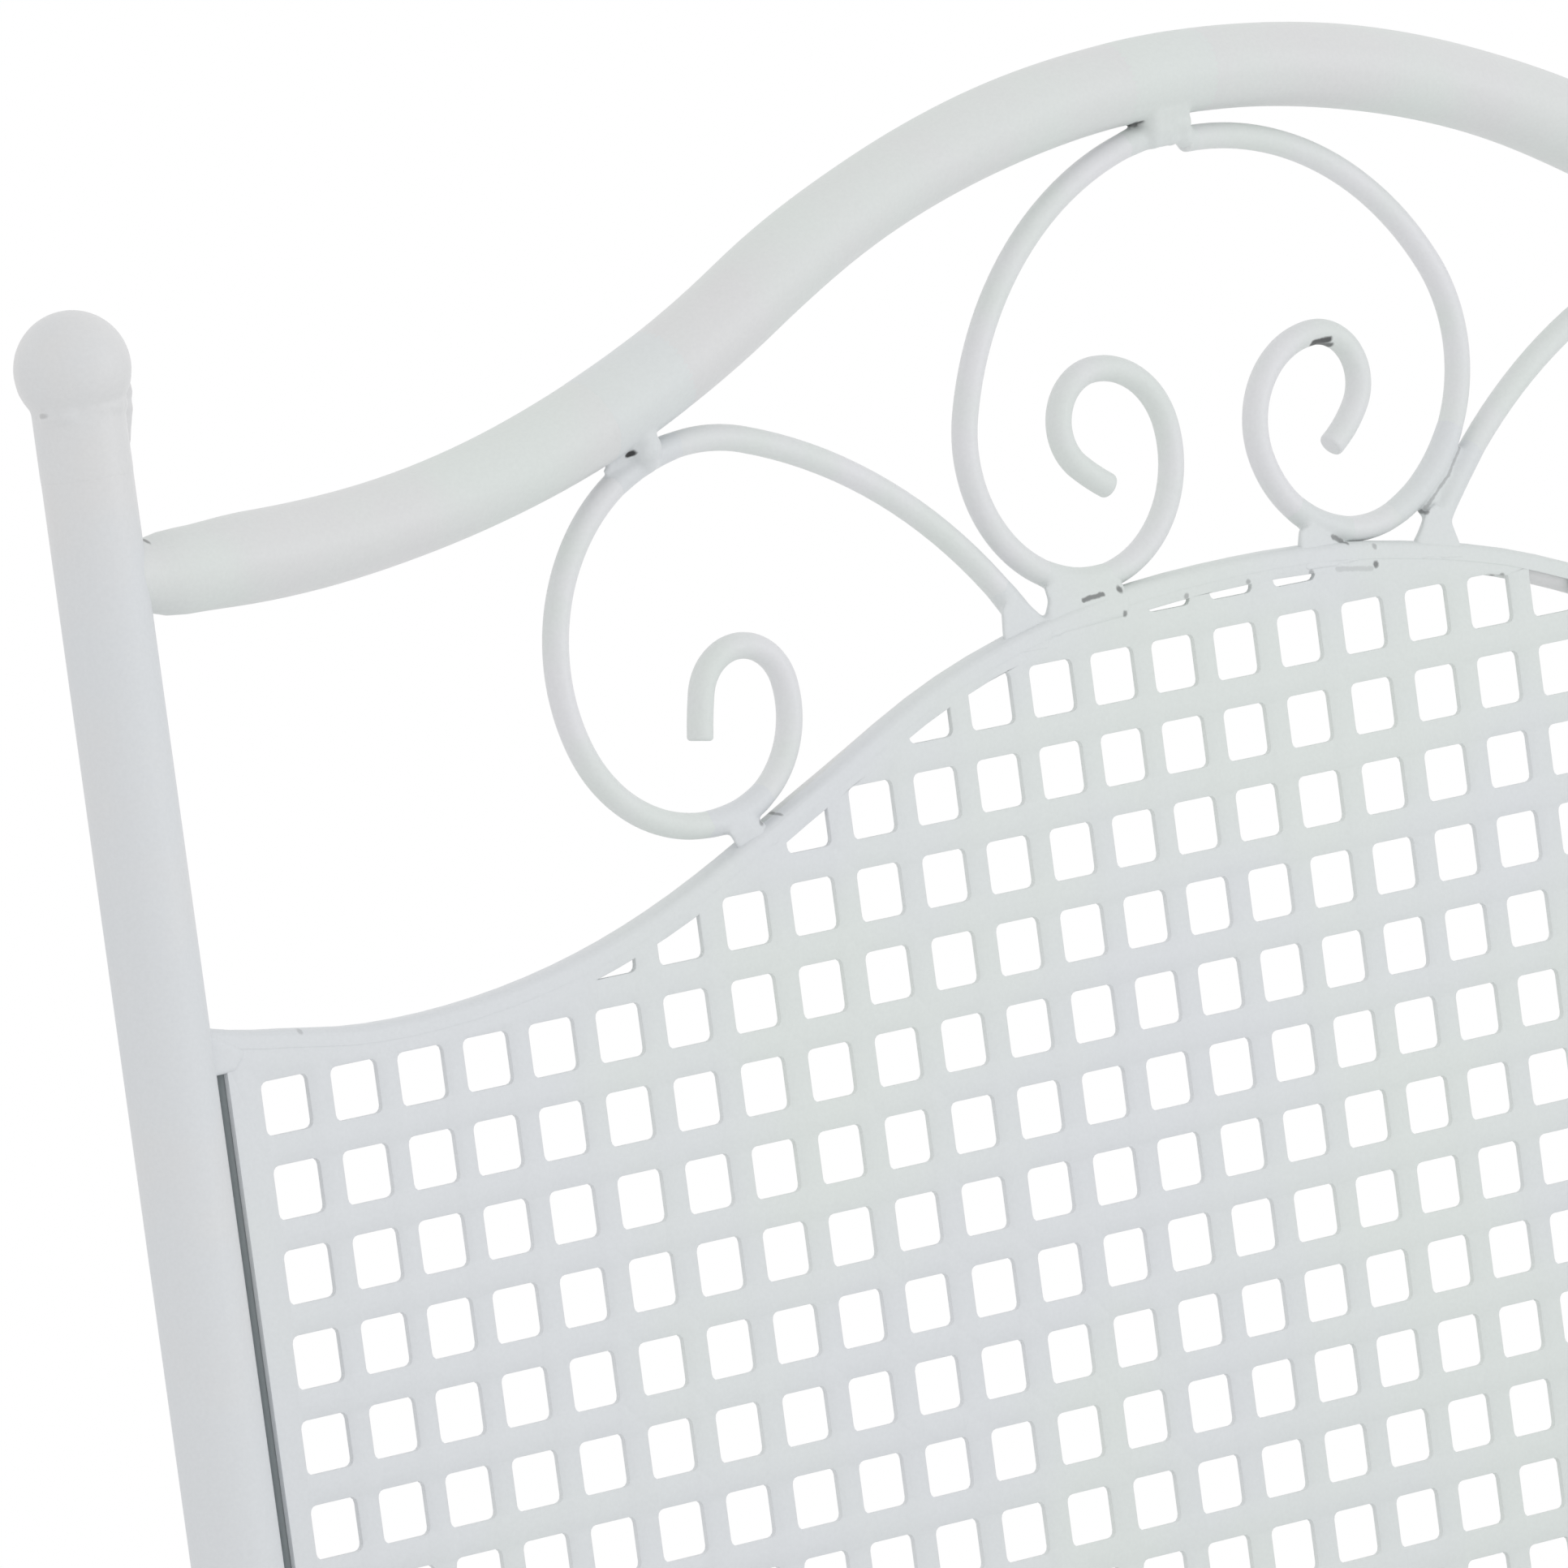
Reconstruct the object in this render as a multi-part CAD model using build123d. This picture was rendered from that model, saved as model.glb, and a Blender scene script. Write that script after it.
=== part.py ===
from build123d import *
from math import asin, ceil, cos, degrees, radians, sin, sqrt, tan
import os

# Garden armchair of welded steel tube and wire, with a perforated back panel.
# Millimetres. The floor is z = 0, x = 0 is the middle and the sitter faces -Y.

# Stock
tube_d = 16.0  # posts, rails, arms, legs and seat frame, all closed at their ends
rim_d = 5.2  # wire round the back panel
scroll_d = 4.8  # scroll wire, across its flats
wire_sides = 8  # flats round each wire
sheet_t = 1.2  # perforated sheet
slat_d = 8.0  # rods under the seat sheet

# Stance
post_spacing = 494.8  # between the axes of the two posts
seat_z = 430.0  # axis of the seat frame
knee_drop = 35.0  # corner where a post turns into a rear leg, below the seat frame
recline = 12.0  # degrees of the back from upright
rear_splay = 15.0  # degrees of the rear legs from upright
front_splay = 4.0  # degrees of the front legs from upright
post_bend_r = 60.0
stretcher_z = 150.0  # tube between the rear legs

# Back, as heights along the posts above the knee
row_zero_v = 338.0  # first row of holes that runs right across the panel
post_above_row = 127.0  # top of the post tube above that row
ball_above_row = 133.2  # centre of the ball above that row
ball_d = 20.6

# Top rail: a crown arc between two foot arcs
rail_above_row = 151.3
rail_crown_r = 206.5
rail_foot_r = 227.0
rail_bend = 29.5  # degrees from the middle to where the arcs meet

# Rim wire along the top edge of the panel, of the same form
rim_above_row = 59.4
rim_crown_r = 229.4
rim_foot_r = 174.3
rim_bend = 29.3

# Perforated panel
pitch = 15.0
hole = 10.0
rows_across = 10  # rows that run right across, from row zero down
grid_shift = -2.9  # the stock sheet was not cut on a hole's centre
sheet_lap = 1.5  # the sheet's edge passes the rim wire's axis by this much
side_slit = 1.3  # between the post's side and the sheet's edge
edge_least = 2.5  # least metal between a hole and the sheet's side
sliver = 1.0  # a cut hole shows at least this much below the rim

# Middle scrolls, from the rail to the inner tip
middle_gap = 6.0  # between the ends of the two, under the middle of the rail
middle_shoulder_r = 61.5
middle_side_r = 30.5
middle_foot_r = 22.0
middle_rise_r = 15.0
middle_curl_r = 9.0
middle_tip_r = 14.5

# Side scrolls, from the rim to the inner tip
side_foot_x = 47.0  # where a side scroll leaves the rim
side_heading = 125.7  # degrees, direction in which it leaves
side_slope_r = 128.5
side_shoulder_r = 36.5
side_foot_r = 31.0
side_rise_r = 19.5
side_curl_r = 9.0
side_tip_r = 67.0
weld_bite = 0.3  # depth that a scroll is ground to where it meets a tube
weld_gap = 0.1  # all round a tube that is cut to fit another

# Arms and seat
arm_rise = 196.0  # axis of an arm above the seat frame
arm_bend_r = 70.0
seat_depth = 432.0  # from the front tube's axis to the rear bolts
seat_corner_r = 50.0
seat_tail = 16.0  # side tubes run past the rear bolts by this much
rear_rail_set = 30.0  # rear rail's axis in front of the rear bolts
leg_set = 78.0  # front bolts behind the front tube's axis
slat_count = 2
seat_pitch = 36.0  # between the openings of the seat sheet
seat_hole = 24.0
seat_margin = 6.0  # least metal between an opening and the tubes

# Bolts
bolt_d = 6.0
bolt_play = 0.4
head_d = 11.0
head_h = 3.4
head_bevel = 2.0
nut_flats = 10.0
nut_h = 5.0
thread_end = 6.5  # bolt length past the seat frame
spacer_d = 14.0
spacer_t = 2.0

# Foot caps
cap_wall = 2.5
cap_h = 24.0
cap_floor = 4.0

tube_r = tube_d / 2
cap_d = tube_d + 2 * cap_wall
knee_z = seat_z - knee_drop
arm_z = seat_z + arm_rise
post_x = post_spacing / 2
seat_x = post_x - tube_d - spacer_t
panel_x = post_x - tube_r - side_slit
rear_run = knee_z * tan(radians(rear_splay))
bolt_run = (seat_z - knee_z) * tan(radians(recline))
cap_reach = cap_d / 2 / cos(radians(rear_splay))
rail_v = row_zero_v + rail_above_row
rail_reach = rail_v * sin(radians(recline)) + tube_r

# The knee stands where the chair is centred between its front tube and its rearmost piece
knee_y = (seat_depth + tube_r - bolt_run - max(rear_run + cap_reach, rail_reach)) / 2
rear_bolt_y = knee_y + bolt_run
front_tube_y = rear_bolt_y - seat_depth
front_bolt_y = front_tube_y + leg_set
rear_rail_y = rear_bolt_y - rear_rail_set
far_below = 200.0

# Bends of the scrolls, as (radius, degrees), which follow on from each other
middle_bends = (
    (middle_shoulder_r, 67.0),
    (middle_side_r, 81.0),
    (middle_foot_r, 130.0),
    (middle_rise_r, 94.0),
    (middle_curl_r, 102.0),
    (middle_tip_r, 41.0),
)
side_bends = (
    (side_slope_r, 32.8),
    (side_shoulder_r, 140.0),
    (side_foot_r, 54.5),
    (side_rise_r, 111.5),
    (side_curl_r, 142.0),
    (side_tip_r, 8.5),
)

# The back is drawn flat, x across and y up the posts, with z towards the sitter
lean = radians(recline)
back = Plane(origin=(0, knee_y, knee_z), x_dir=(1, 0, 0), z_dir=(0, -cos(lean), sin(lean)))


def rod(path, diameter):
    """Round bar along a path."""
    return sweep(Plane(origin=path @ 0, z_dir=path % 0) * Circle(diameter / 2), path=path)


def wire(path, diameter):
    """Bar with flats along a path drawn in the plane of the back."""
    start = Plane(origin=path @ 0, x_dir=(0, 0, 1), z_dir=path % 0)
    flats = RegularPolygon(diameter / 2, wire_sides, major_radius=False, rotation=180 / wire_sides)
    return sweep(start * flats, path=path)


def other_side(shape):
    return mirror(shape, about=Plane.YZ)


def below(z):
    """Everything under a level."""
    size = 4 * post_spacing
    return Pos(0, 0, z - size / 2) * Box(size, size, size)


def cross_bore(y, z):
    """Bolt hole through both sides of the chair."""
    return Pos(0, y, z) * Rot(0, 90, 0) * Cylinder((bolt_d + bolt_play) / 2, 2 * post_spacing)


def post_y(z):
    """Axis of the reclined post at a height."""
    return knee_y + (z - knee_z) * tan(lean)


def leg_y(z):
    """Axis of the front leg at a height."""
    return front_bolt_y + (z - seat_z) * tan(radians(front_splay))


def bore_rear():
    return cross_bore(rear_bolt_y, seat_z)


def bore_front():
    return cross_bore(front_bolt_y, seat_z)


def arch(crown, crown_r, foot_r, bend, half, outset=0.0):
    """Crown arc and two foot arcs from x = -half to half, at an outset from the drawn line."""
    reach = crown_r + foot_r
    foot_x = reach * sin(radians(bend))
    foot_y = crown - crown_r + reach * cos(radians(bend))
    run = degrees(asin((half - foot_x) / (foot_r - outset)))
    left = CenterArc((-foot_x, foot_y), foot_r - outset, -90 - run, run + bend)
    middle = CenterArc((0, crown - crown_r), crown_r + outset, 90 + bend, -2 * bend)
    right = CenterArc((foot_x, foot_y), foot_r - outset, -90 - bend, run + bend)
    return Wire([left, middle, right])


def rim_height(x):
    """Height of the rim wire's axis at x."""
    reach = (rim_crown_r + rim_foot_r) * sin(radians(rim_bend))
    base = rim_v - rim_crown_r
    if abs(x) < rim_crown_r * sin(radians(rim_bend)):
        return base + sqrt(rim_crown_r**2 - x**2)
    top = base + (rim_crown_r + rim_foot_r) * cos(radians(rim_bend))
    return top - sqrt(rim_foot_r**2 - (abs(x) - reach) ** 2)


def bent_wire(start, heading, bends):
    """Arcs that follow on from each other, all turning left."""
    arcs = []
    point = Vector(*start)
    along = Vector(1, 0).rotate(Axis.Z, heading)
    for radius, turn in bends:
        arc = JernArc(start=point, tangent=along, radius=radius, arc_size=turn)
        arcs.append(arc)
        point = arc @ 1
        along = arc % 1
    return Wire(arcs)


rim_v = row_zero_v + rim_above_row
panel_foot_v = row_zero_v - (rows_across - 1) * pitch - hole / 2 - edge_least
bottom_rim_v = panel_foot_v + sheet_lap


def post_path():
    rise = row_zero_v + post_above_row
    foot_y = knee_y + (knee_z + far_below) * tan(radians(rear_splay))
    top = (post_x, knee_y + rise * sin(lean), knee_z + rise * cos(lean))
    return FilletPolyline((post_x, foot_y, -far_below), (post_x, knee_y, knee_z), top, radius=post_bend_r)


def arm_path():
    foot = (post_x, leg_y(-far_below), -far_below)
    corner = (post_x, leg_y(arm_z), arm_z)
    return FilletPolyline(foot, corner, (post_x, post_y(arm_z), arm_z), radius=arm_bend_r)


def ball():
    return back * Pos(post_x, row_zero_v + ball_above_row) * Sphere(ball_d / 2)


# Outlines of the posts and legs, which their neighbours are cut to fit
post_rod = rod(post_path(), tube_d) - below(cap_floor)
leg_rod = rod(arm_path(), tube_d) - below(cap_floor)
post_cope = rod(post_path(), tube_d + 2 * weld_gap)
post_copes = [post_cope, other_side(post_cope)]


def back_post():
    return rod(post_path(), tube_d) - below(cap_floor) - ball() - bore_rear()


def arm_leg():
    return rod(arm_path(), tube_d) - below(cap_floor) - post_cope - bore_front()


def foot_cap(y, splay, leg):
    """Moulded cup on a leg's end, cut level with the floor."""
    axis = Plane(origin=(post_x, y, 0), z_dir=(0, sin(radians(splay)), cos(radians(splay))))
    sleeve = axis * Cylinder(cap_d / 2, 2 * cap_h)
    return sleeve - below(0) - leg


def top_rail():
    path = arch(rail_v, rail_crown_r, rail_foot_r, rail_bend, post_x)
    return back * rod(path, tube_d) - post_copes


def panel_rim_top():
    path = arch(rim_v, rim_crown_r, rim_foot_r, rim_bend, post_x)
    return back * wire(path, rim_d) - post_copes


def panel_rim_bottom():
    path = Line((-post_x, bottom_rim_v), (post_x, bottom_rim_v))
    return back * wire(path, rim_d) - post_copes


def panel_rim_side():
    """Wire down the inside of a post, between the top and bottom rims."""
    x = post_x - tube_r - rim_d / 2
    path = Line((x, bottom_rim_v), (x, rim_height(x)))
    return back * wire(path, rim_d) - rim_top - rim_bottom


def back_panel():
    """Sheet on the front of the rim wires, punched with square holes up to the top wire."""
    edge = arch(rim_v, rim_crown_r, rim_foot_r, rim_bend, panel_x, sheet_lap)
    feet = Polyline(edge @ 0, (-panel_x, panel_foot_v), (panel_x, panel_foot_v), edge @ 1)
    under = arch(rim_v, rim_crown_r, rim_foot_r, rim_bend, panel_x, -rim_d / 2)
    sides = [Line(edge @ 0, under @ 0), Line(edge @ 1, under @ 1)]
    band = make_face(edge.edges() + under.edges() + sides)
    columns = int((panel_x - edge_least - hole / 2 - abs(grid_shift)) / pitch)
    rows_above = ceil(rim_above_row / pitch)
    holes = []
    for row in range(-rows_above, rows_across):
        for column in range(-columns, columns + 1):
            x = column * pitch + grid_shift
            v = row_zero_v - row * pitch
            clear = max(rim_height(x - hole / 2), rim_height(x + hole / 2)) - rim_d / 2
            if v - hole / 2 + sliver < clear:
                holes.append(Pos(x, v) * Rectangle(hole, hole))
    sheet = make_face(edge.edges() + feet.edges()) - holes + band
    return back * Pos(0, 0, rim_d / 2) * extrude(sheet, amount=sheet_t, dir=(0, 0, 1))


def scroll_center():
    """Wire that starts under the middle of the rail, touches the rim and curls up."""
    start = (0, rail_v - tube_r - scroll_d / 2 + weld_bite)
    curl = wire(bent_wire(start, 180, middle_bends), scroll_d)
    gap = Pos(*start) * Box(middle_gap, 2 * scroll_d, 2 * scroll_d)
    return back * (curl - gap) - rail - rim_top


def scroll_side():
    """Wire that rises from the rim, passes under the rail and curls back to the rim."""
    start = (-side_foot_x, rim_height(side_foot_x))
    curl = wire(bent_wire(start, side_heading, side_bends), scroll_d)
    return back * curl - rail - rim_top


def seat_frame():
    """Side tubes and front tube in one bent length, open at the rear."""
    tail_y = rear_bolt_y + seat_tail
    path = FilletPolyline(
        (-seat_x, tail_y, seat_z),
        (-seat_x, front_tube_y, seat_z),
        (seat_x, front_tube_y, seat_z),
        (seat_x, tail_y, seat_z),
        radius=seat_corner_r,
    )
    return rod(path, tube_d) - bore_rear() - bore_front()


def between_sides(y, z, diameter):
    """Straight bar from one side tube of the seat to the other."""
    side = Pos(seat_x, y, seat_z) * Rot(90, 0, 0) * Cylinder(tube_r + weld_gap, 4 * tube_d)
    bar = rod(Line((-seat_x, y, z), (seat_x, y, z)), diameter)
    return bar - side - other_side(side)


def seat_slats():
    """Rods under the seat sheet, spaced evenly from front to rear."""
    gap = (rear_rail_y - front_tube_y) / (slat_count + 1)
    top = seat_z + tube_r - slat_d / 2
    return [between_sides(front_tube_y + gap * (n + 1), top, slat_d) for n in range(slat_count)]


def seat_panel():
    """Sheet on top of the seat frame, with its edges along the tubes' axes and a grid of openings."""
    depth = rear_rail_y - front_tube_y
    outline = Rectangle(2 * seat_x, depth)
    outline = fillet(outline.vertices().sort_by(Axis.Y)[:2], seat_corner_r)
    spare = 2 * (tube_r + seat_margin) - (seat_pitch - seat_hole)
    columns = int((2 * seat_x - spare) / seat_pitch)
    rows = int((depth - spare) / seat_pitch)
    openings = GridLocations(seat_pitch, seat_pitch, columns, rows) * Rectangle(seat_hole, seat_hole)
    sheet = extrude(outline - openings, amount=sheet_t)
    return Pos(0, front_tube_y + depth / 2, seat_z + tube_r) * sheet


def rear_stretcher():
    y = knee_y + (knee_z - stretcher_z) * tan(radians(rear_splay))
    return rod(Line((-post_x, y, stretcher_z), (post_x, y, stretcher_z)), tube_d) - post_copes


def along_x(x, y, shape):
    """Lay a shape drawn along z with its foot at x, pointing inwards."""
    return Pos(x, y, seat_z) * Rot(0, -90, 0) * shape


def seat_bolt(y):
    """Bolt through a post or leg, a spacer and the seat frame."""
    length = 2 * tube_d + spacer_t + thread_end
    head = Pos(0, 0, -head_h / 2) * Cylinder(head_d / 2, head_h)
    head = chamfer(head.edges().group_by(Axis.Z)[0], head_bevel)
    shank = Pos(0, 0, length / 2) * Cylinder(bolt_d / 2, length)
    return along_x(post_x + tube_r, y, head + shank)


def seat_nut(y):
    """Hexagon nut against the inside of the seat frame."""
    body = extrude(RegularPolygon(nut_flats / 2, 6, major_radius=False), amount=nut_h)
    return along_x(seat_x - tube_r, y, body - Pos(0, 0, nut_h / 2) * Cylinder(bolt_d / 2, nut_h))


def spacer(y):
    """Washer that keeps a post or leg off the seat frame."""
    ring = Cylinder(spacer_d / 2, spacer_t) - Cylinder((bolt_d + bolt_play) / 2, spacer_t)
    return along_x(post_x - tube_r, y, Pos(0, 0, spacer_t / 2) * ring)


def four(make):
    """The same fastener at the four corners of the seat."""
    right = [make(rear_bolt_y), make(front_bolt_y)]
    return right + [other_side(piece) for piece in right]


def pair(piece):
    return [piece, other_side(piece)]


def write(node, *solids):
    """One file for each node, with its solids side by side in it."""
    shapes = [solid for item in solids for solid in item.solids()]
    export_step(Compound(children=shapes) if len(shapes) > 1 else shapes[0], f"parts/{node}.step")
    print(node, len(shapes), "solid" if len(shapes) == 1 else "solids")


def write_sides(name, piece):
    """A right-hand piece and its mirror image."""
    write(f"{name}_right", piece)
    write(f"{name}_left", other_side(piece))


os.makedirs("parts", exist_ok=True)
rail = top_rail()
rim_top = panel_rim_top()
rim_bottom = panel_rim_bottom()

write_sides("back_post", back_post())
write("ball_finials", *pair(ball()))
write("top_rail", rail)
write("back_panel", back_panel())
write("panel_rim_top", rim_top)
write("panel_rim_bottom", rim_bottom)
write_sides("panel_rim", panel_rim_side())
write("scroll_center", *pair(scroll_center()))
left_scroll = scroll_side()
write("scroll_left", left_scroll)
write("scroll_right", other_side(left_scroll))
write_sides("arm_leg", arm_leg())
write("rear_stretcher", rear_stretcher())
write("seat_frame", seat_frame())
write("seat_rear_rail", between_sides(rear_rail_y, seat_z, tube_d))
write("seat_slats", *seat_slats())
write("seat_panel", seat_panel())
write("seat_bolts", *four(seat_bolt))
write("seat_nuts", *four(seat_nut))
write("seat_spacers", *four(spacer))
write("front_foot_caps", *pair(foot_cap(leg_y(0), front_splay, leg_rod)))
write("rear_foot_caps", *pair(foot_cap(knee_y + rear_run, -rear_splay, post_rod)))
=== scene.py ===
# %% [markdown]
# # A garden armchair of tube, wire and punched sheet
# The chair is welded together from round steel tube, bent wire and a sheet with square holes, and it is
# painted white all over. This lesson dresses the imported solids: each cell rebuilds one piece as it looks
# in use, with round sections, weld beads and uneven paint, in the place that the solids give it.

# %% Load the frame
import random
from math import asin, ceil, cos, degrees, exp, pi, radians, sin, sqrt, tan

import bmesh
import bpy
from mathutils import Matrix, Vector
from mathutils.geometry import delaunay_2d_cdt


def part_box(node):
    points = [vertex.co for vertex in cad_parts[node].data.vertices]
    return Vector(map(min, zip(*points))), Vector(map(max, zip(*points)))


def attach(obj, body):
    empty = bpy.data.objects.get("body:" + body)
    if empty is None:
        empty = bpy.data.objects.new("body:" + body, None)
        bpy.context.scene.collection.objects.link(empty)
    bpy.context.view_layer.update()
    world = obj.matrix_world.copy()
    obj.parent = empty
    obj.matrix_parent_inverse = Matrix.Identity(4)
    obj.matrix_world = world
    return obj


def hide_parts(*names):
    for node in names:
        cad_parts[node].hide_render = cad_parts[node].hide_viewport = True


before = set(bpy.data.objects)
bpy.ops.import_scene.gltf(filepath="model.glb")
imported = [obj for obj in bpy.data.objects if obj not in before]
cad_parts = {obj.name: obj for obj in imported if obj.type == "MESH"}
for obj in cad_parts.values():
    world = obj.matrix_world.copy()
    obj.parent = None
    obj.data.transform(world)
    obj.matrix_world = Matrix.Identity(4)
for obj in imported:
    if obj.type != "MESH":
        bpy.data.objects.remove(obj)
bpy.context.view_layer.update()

MM = 0.001

# %% [markdown]
# ## The plane of the back
# The posts, the top rail, the scrolls and the sheet all lie in one plane that leans backwards. It is
# easier to draw them flat, in millimetres across, up and towards the sitter, and to lean the drawing
# afterwards. The middle between the two finials fixes the plane's height, and row zero is the first row
# of holes that runs right across the sheet.

# %% Lean flat drawings into the back
recline = radians(12.0)
ball_above_row = 133.2
row_above_knee = 338.0

ball_low, ball_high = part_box("ball_finials")
across = Vector((1, 0, 0))
up_back = Vector((0, sin(recline), cos(recline)))
to_sitter = Vector((0, -cos(recline), sin(recline)))
row_zero = (ball_low + ball_high) / 2 - up_back * ball_above_row * MM


def on_back(x, v, n=0.0):
    """A point of the back: millimetres across, up from row zero and towards the sitter."""
    return row_zero + (across * x + up_back * v + to_sitter * n) * MM


print("row zero:", [round(c, 4) for c in row_zero])

# %% [markdown]
# ## Paths
# A workshop bends tube and wire to arcs, so every path here is straight runs and arcs. Three helpers draw
# them: one arc, a chain of arcs that follow on from each other as a scroll does, and straight runs with
# rounded corners as a tube bender makes them. A chain of bends needs only a radius and an angle for each
# bend, which is also how the bending would be written on a shop drawing.


# %% Arcs, chains of arcs and rounded corners
def arc(center, radius, start, sweep, step=2.0):
    """Points along an arc in a plane, with angles in degrees."""
    count = max(2, ceil(abs(sweep) / step))
    angles = [radians(start + sweep * k / count) for k in range(count + 1)]
    return [Vector((center[0] + radius * cos(a), center[1] + radius * sin(a))) for a in angles]


def follow(start, heading, bends):
    """Points along arcs that follow on from each other, all turning right."""
    points = [Vector(start)]
    for radius, turn in bends:
        right = Vector((sin(radians(heading)), -cos(radians(heading))))
        points += arc(points[-1] + right * radius, radius, heading + 90, -turn)[1:]
        heading -= turn
    return points


def arch(crown, crown_r, foot_r, bend, half, step=2.0):
    """Points of a crown arc between two foot arcs, from x = -half to half."""
    reach = crown_r + foot_r
    foot_x = reach * sin(radians(bend))
    foot_v = crown - crown_r + reach * cos(radians(bend))
    run = degrees(asin((half - foot_x) / foot_r))
    left = arc((-foot_x, foot_v), foot_r, -90 - run, run + bend, step)
    middle = arc((0, crown - crown_r), crown_r, 90 + bend, -2 * bend, step)
    right = arc((foot_x, foot_v), foot_r, -90 - bend, run + bend, step)
    return left + middle[1:] + right[1:]


def rounded(corners, radius, step=3.0):
    """Points along straight runs, with each corner rounded to a radius."""
    points = [corners[0]]
    for before, corner, after in zip(corners, corners[1:], corners[2:]):
        back, on = (before - corner).normalized(), (after - corner).normalized()
        half = back.angle(on) / 2
        center = corner + (back + on).normalized() * radius / sin(half)
        spoke = corner + back * radius / tan(half) - center
        turn = pi - 2 * half
        count = ceil(degrees(turn) / step)
        axis = back.cross(on)
        points += [center + Matrix.Rotation(-turn * k / count, 3, axis) @ spoke for k in range(count + 1)]
    return points + [corners[-1]]


# %% [markdown]
# ## From a path to a bar
# Blender's curves can carry a bevel, but their ends are cut square and their section is even all along.
# Real tube swells a little at its bends, and its ends are cut to sit on the tube that they are welded to.
# So a bar is made ring by ring along its path: the radius may change on the way, an end may have a lip,
# and the last ring may be pushed along the bar until it lies on the surface of a post.


# %% Rings along a path
def carried_frames(path):
    """For each point of a path: the point, the way on, and two directions square to it."""
    frames = []
    side = None
    for k, point in enumerate(path):
        before = path[k - 1] if k else point
        after = path[k + 1] if k + 1 < len(path) else point
        along = (after - before).normalized()
        side = along.orthogonal() if side is None else side
        side = (side - along * side.dot(along)).normalized()
        frames.append((point, along, side, along.cross(side)))
    return frames


def ring(station, radius, sides, shift=0.0):
    """Points round a station, shifted along its way on."""
    point, along, side, other = station
    angles = [2 * pi * k / sides for k in range(sides)]
    return [point + along * shift + (side * cos(a) + other * sin(a)) * radius for a in angles]


def skin(mesh, loops, closed=False):
    """Faces over a row of point loops, with both ends filled."""
    rows = [[mesh.verts.new(point) for point in loop] for loop in loops]
    pairs = list(zip(rows, rows[1:]))
    if closed:
        pairs.append((rows[-1], rows[0]))
    else:
        mesh.faces.new(rows[0][::-1])
        mesh.faces.new(rows[-1])
    for low, high in pairs:
        for k in range(len(low)):
            mesh.faces.new((low[k - 1], low[k], high[k], high[k - 1]))


# %% Ends that sit on another tube
def saddle(point, along, post):
    """Where a line from a point meets the surface of a round post, on the near side."""
    foot, axis, radius = post
    gap = point - foot
    gap = gap - axis * gap.dot(axis)
    way = along - axis * along.dot(axis)
    a, b, c = way.dot(way), gap.dot(way), gap.dot(gap) - radius**2
    return point + along * ((-b - sqrt(max(b * b - a * c, 0.0))) / a)


def bar(mesh, path, radius, sides=48, lip=0.0, posts=(None, None)):
    """A round bar along a path in metres, with one radius for all of it or one for each point."""
    radii = radius if isinstance(radius, list) else [radius] * len(path)
    stations = carried_frames(path)
    loops = [ring(station, r, sides) for station, r in zip(stations, radii)]
    if lip:
        turns = [radians(90 * k / 4) for k in range(4)]
        heads = [ring(stations[0], radii[0] - lip + lip * sin(t), sides, -lip * cos(t)) for t in turns]
        tails = [ring(stations[-1], radii[-1] - lip + lip * sin(t), sides, lip * cos(t)) for t in turns]
        loops = heads + loops + tails[::-1]
    for post, k, inner in ((posts[0], 0, 1), (posts[1], -1, -2)):
        if post:
            way = stations[k][1] * (-1 if k == 0 else 1)
            loops[k] = [saddle(point, way, post) for point in loops[inner]]
    skin(mesh, loops)


# %% [markdown]
# ## The paint
# Close up, the white paint isn't one white. It drifts between a neutral, a bluish and a greenish grey in
# patches of a few centimetres, it has a fine grain, and its surface is a little rippled, as brushed or
# thickly sprayed paint dries. All of that is one node group, which every painted material uses with its
# own two tints, so the tubes and the sheet can differ slightly as they do on the real chair.


# %% A node group for uneven paint
def new_group(name, inputs, outputs):
    """An empty shader group with named sockets; returns it with its two end nodes."""
    group = bpy.data.node_groups.new(name, "ShaderNodeTree")
    for socket, kind, value in inputs:
        made = group.interface.new_socket(socket, in_out="INPUT", socket_type=kind)
        made.default_value = value
    for socket, kind in outputs:
        group.interface.new_socket(socket, in_out="OUTPUT", socket_type=kind)
    return group, group.nodes.new("NodeGroupInput"), group.nodes.new("NodeGroupOutput")


def add_node(tree, kind, settings=(), **sockets):
    """A node with its settings and its sockets, set or linked; i0, i1 and so on go by a socket's number."""
    node = tree.nodes.new(kind)
    for setting, value in dict(settings).items():
        setattr(node, setting, value)
    for socket, value in sockets.items():
        key = int(socket[1:]) if socket[1:].isdigit() else socket.replace("_", " ")
        target = node.inputs[key]
        if isinstance(value, bpy.types.NodeSocket):
            tree.links.new(value, target)
        else:
            target.default_value = value
    return node


def number_math(tree, operation, *values):
    """What a math node puts out for values or sockets."""
    inputs = {f"i{k}": value for k, value in enumerate(values)}
    return add_node(tree, "ShaderNodeMath", {"operation": operation}, **inputs).outputs[0]


def vector_math(tree, operation, *values, **sockets):
    """What a vector math node puts out: a number for a product, length or distance, or else a vector."""
    inputs = {f"i{k}": value for k, value in enumerate(values)}
    node = add_node(tree, "ShaderNodeVectorMath", {"operation": operation}, **inputs, **sockets)
    return node.outputs["Value" if operation in ("DOT_PRODUCT", "LENGTH", "DISTANCE") else "Vector"]


def coordinates(tree, kind="Object"):
    """Place on the piece, or another of the texture coordinates."""
    return tree.nodes.new("ShaderNodeTexCoord").outputs[kind]


def noise_at(tree, place, scale, detail=2.0):
    """Noise between 0 and 1 at a place."""
    return add_node(tree, "ShaderNodeTexNoise", Vector=place, Scale=scale, Detail=detail).outputs["Fac"]


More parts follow.
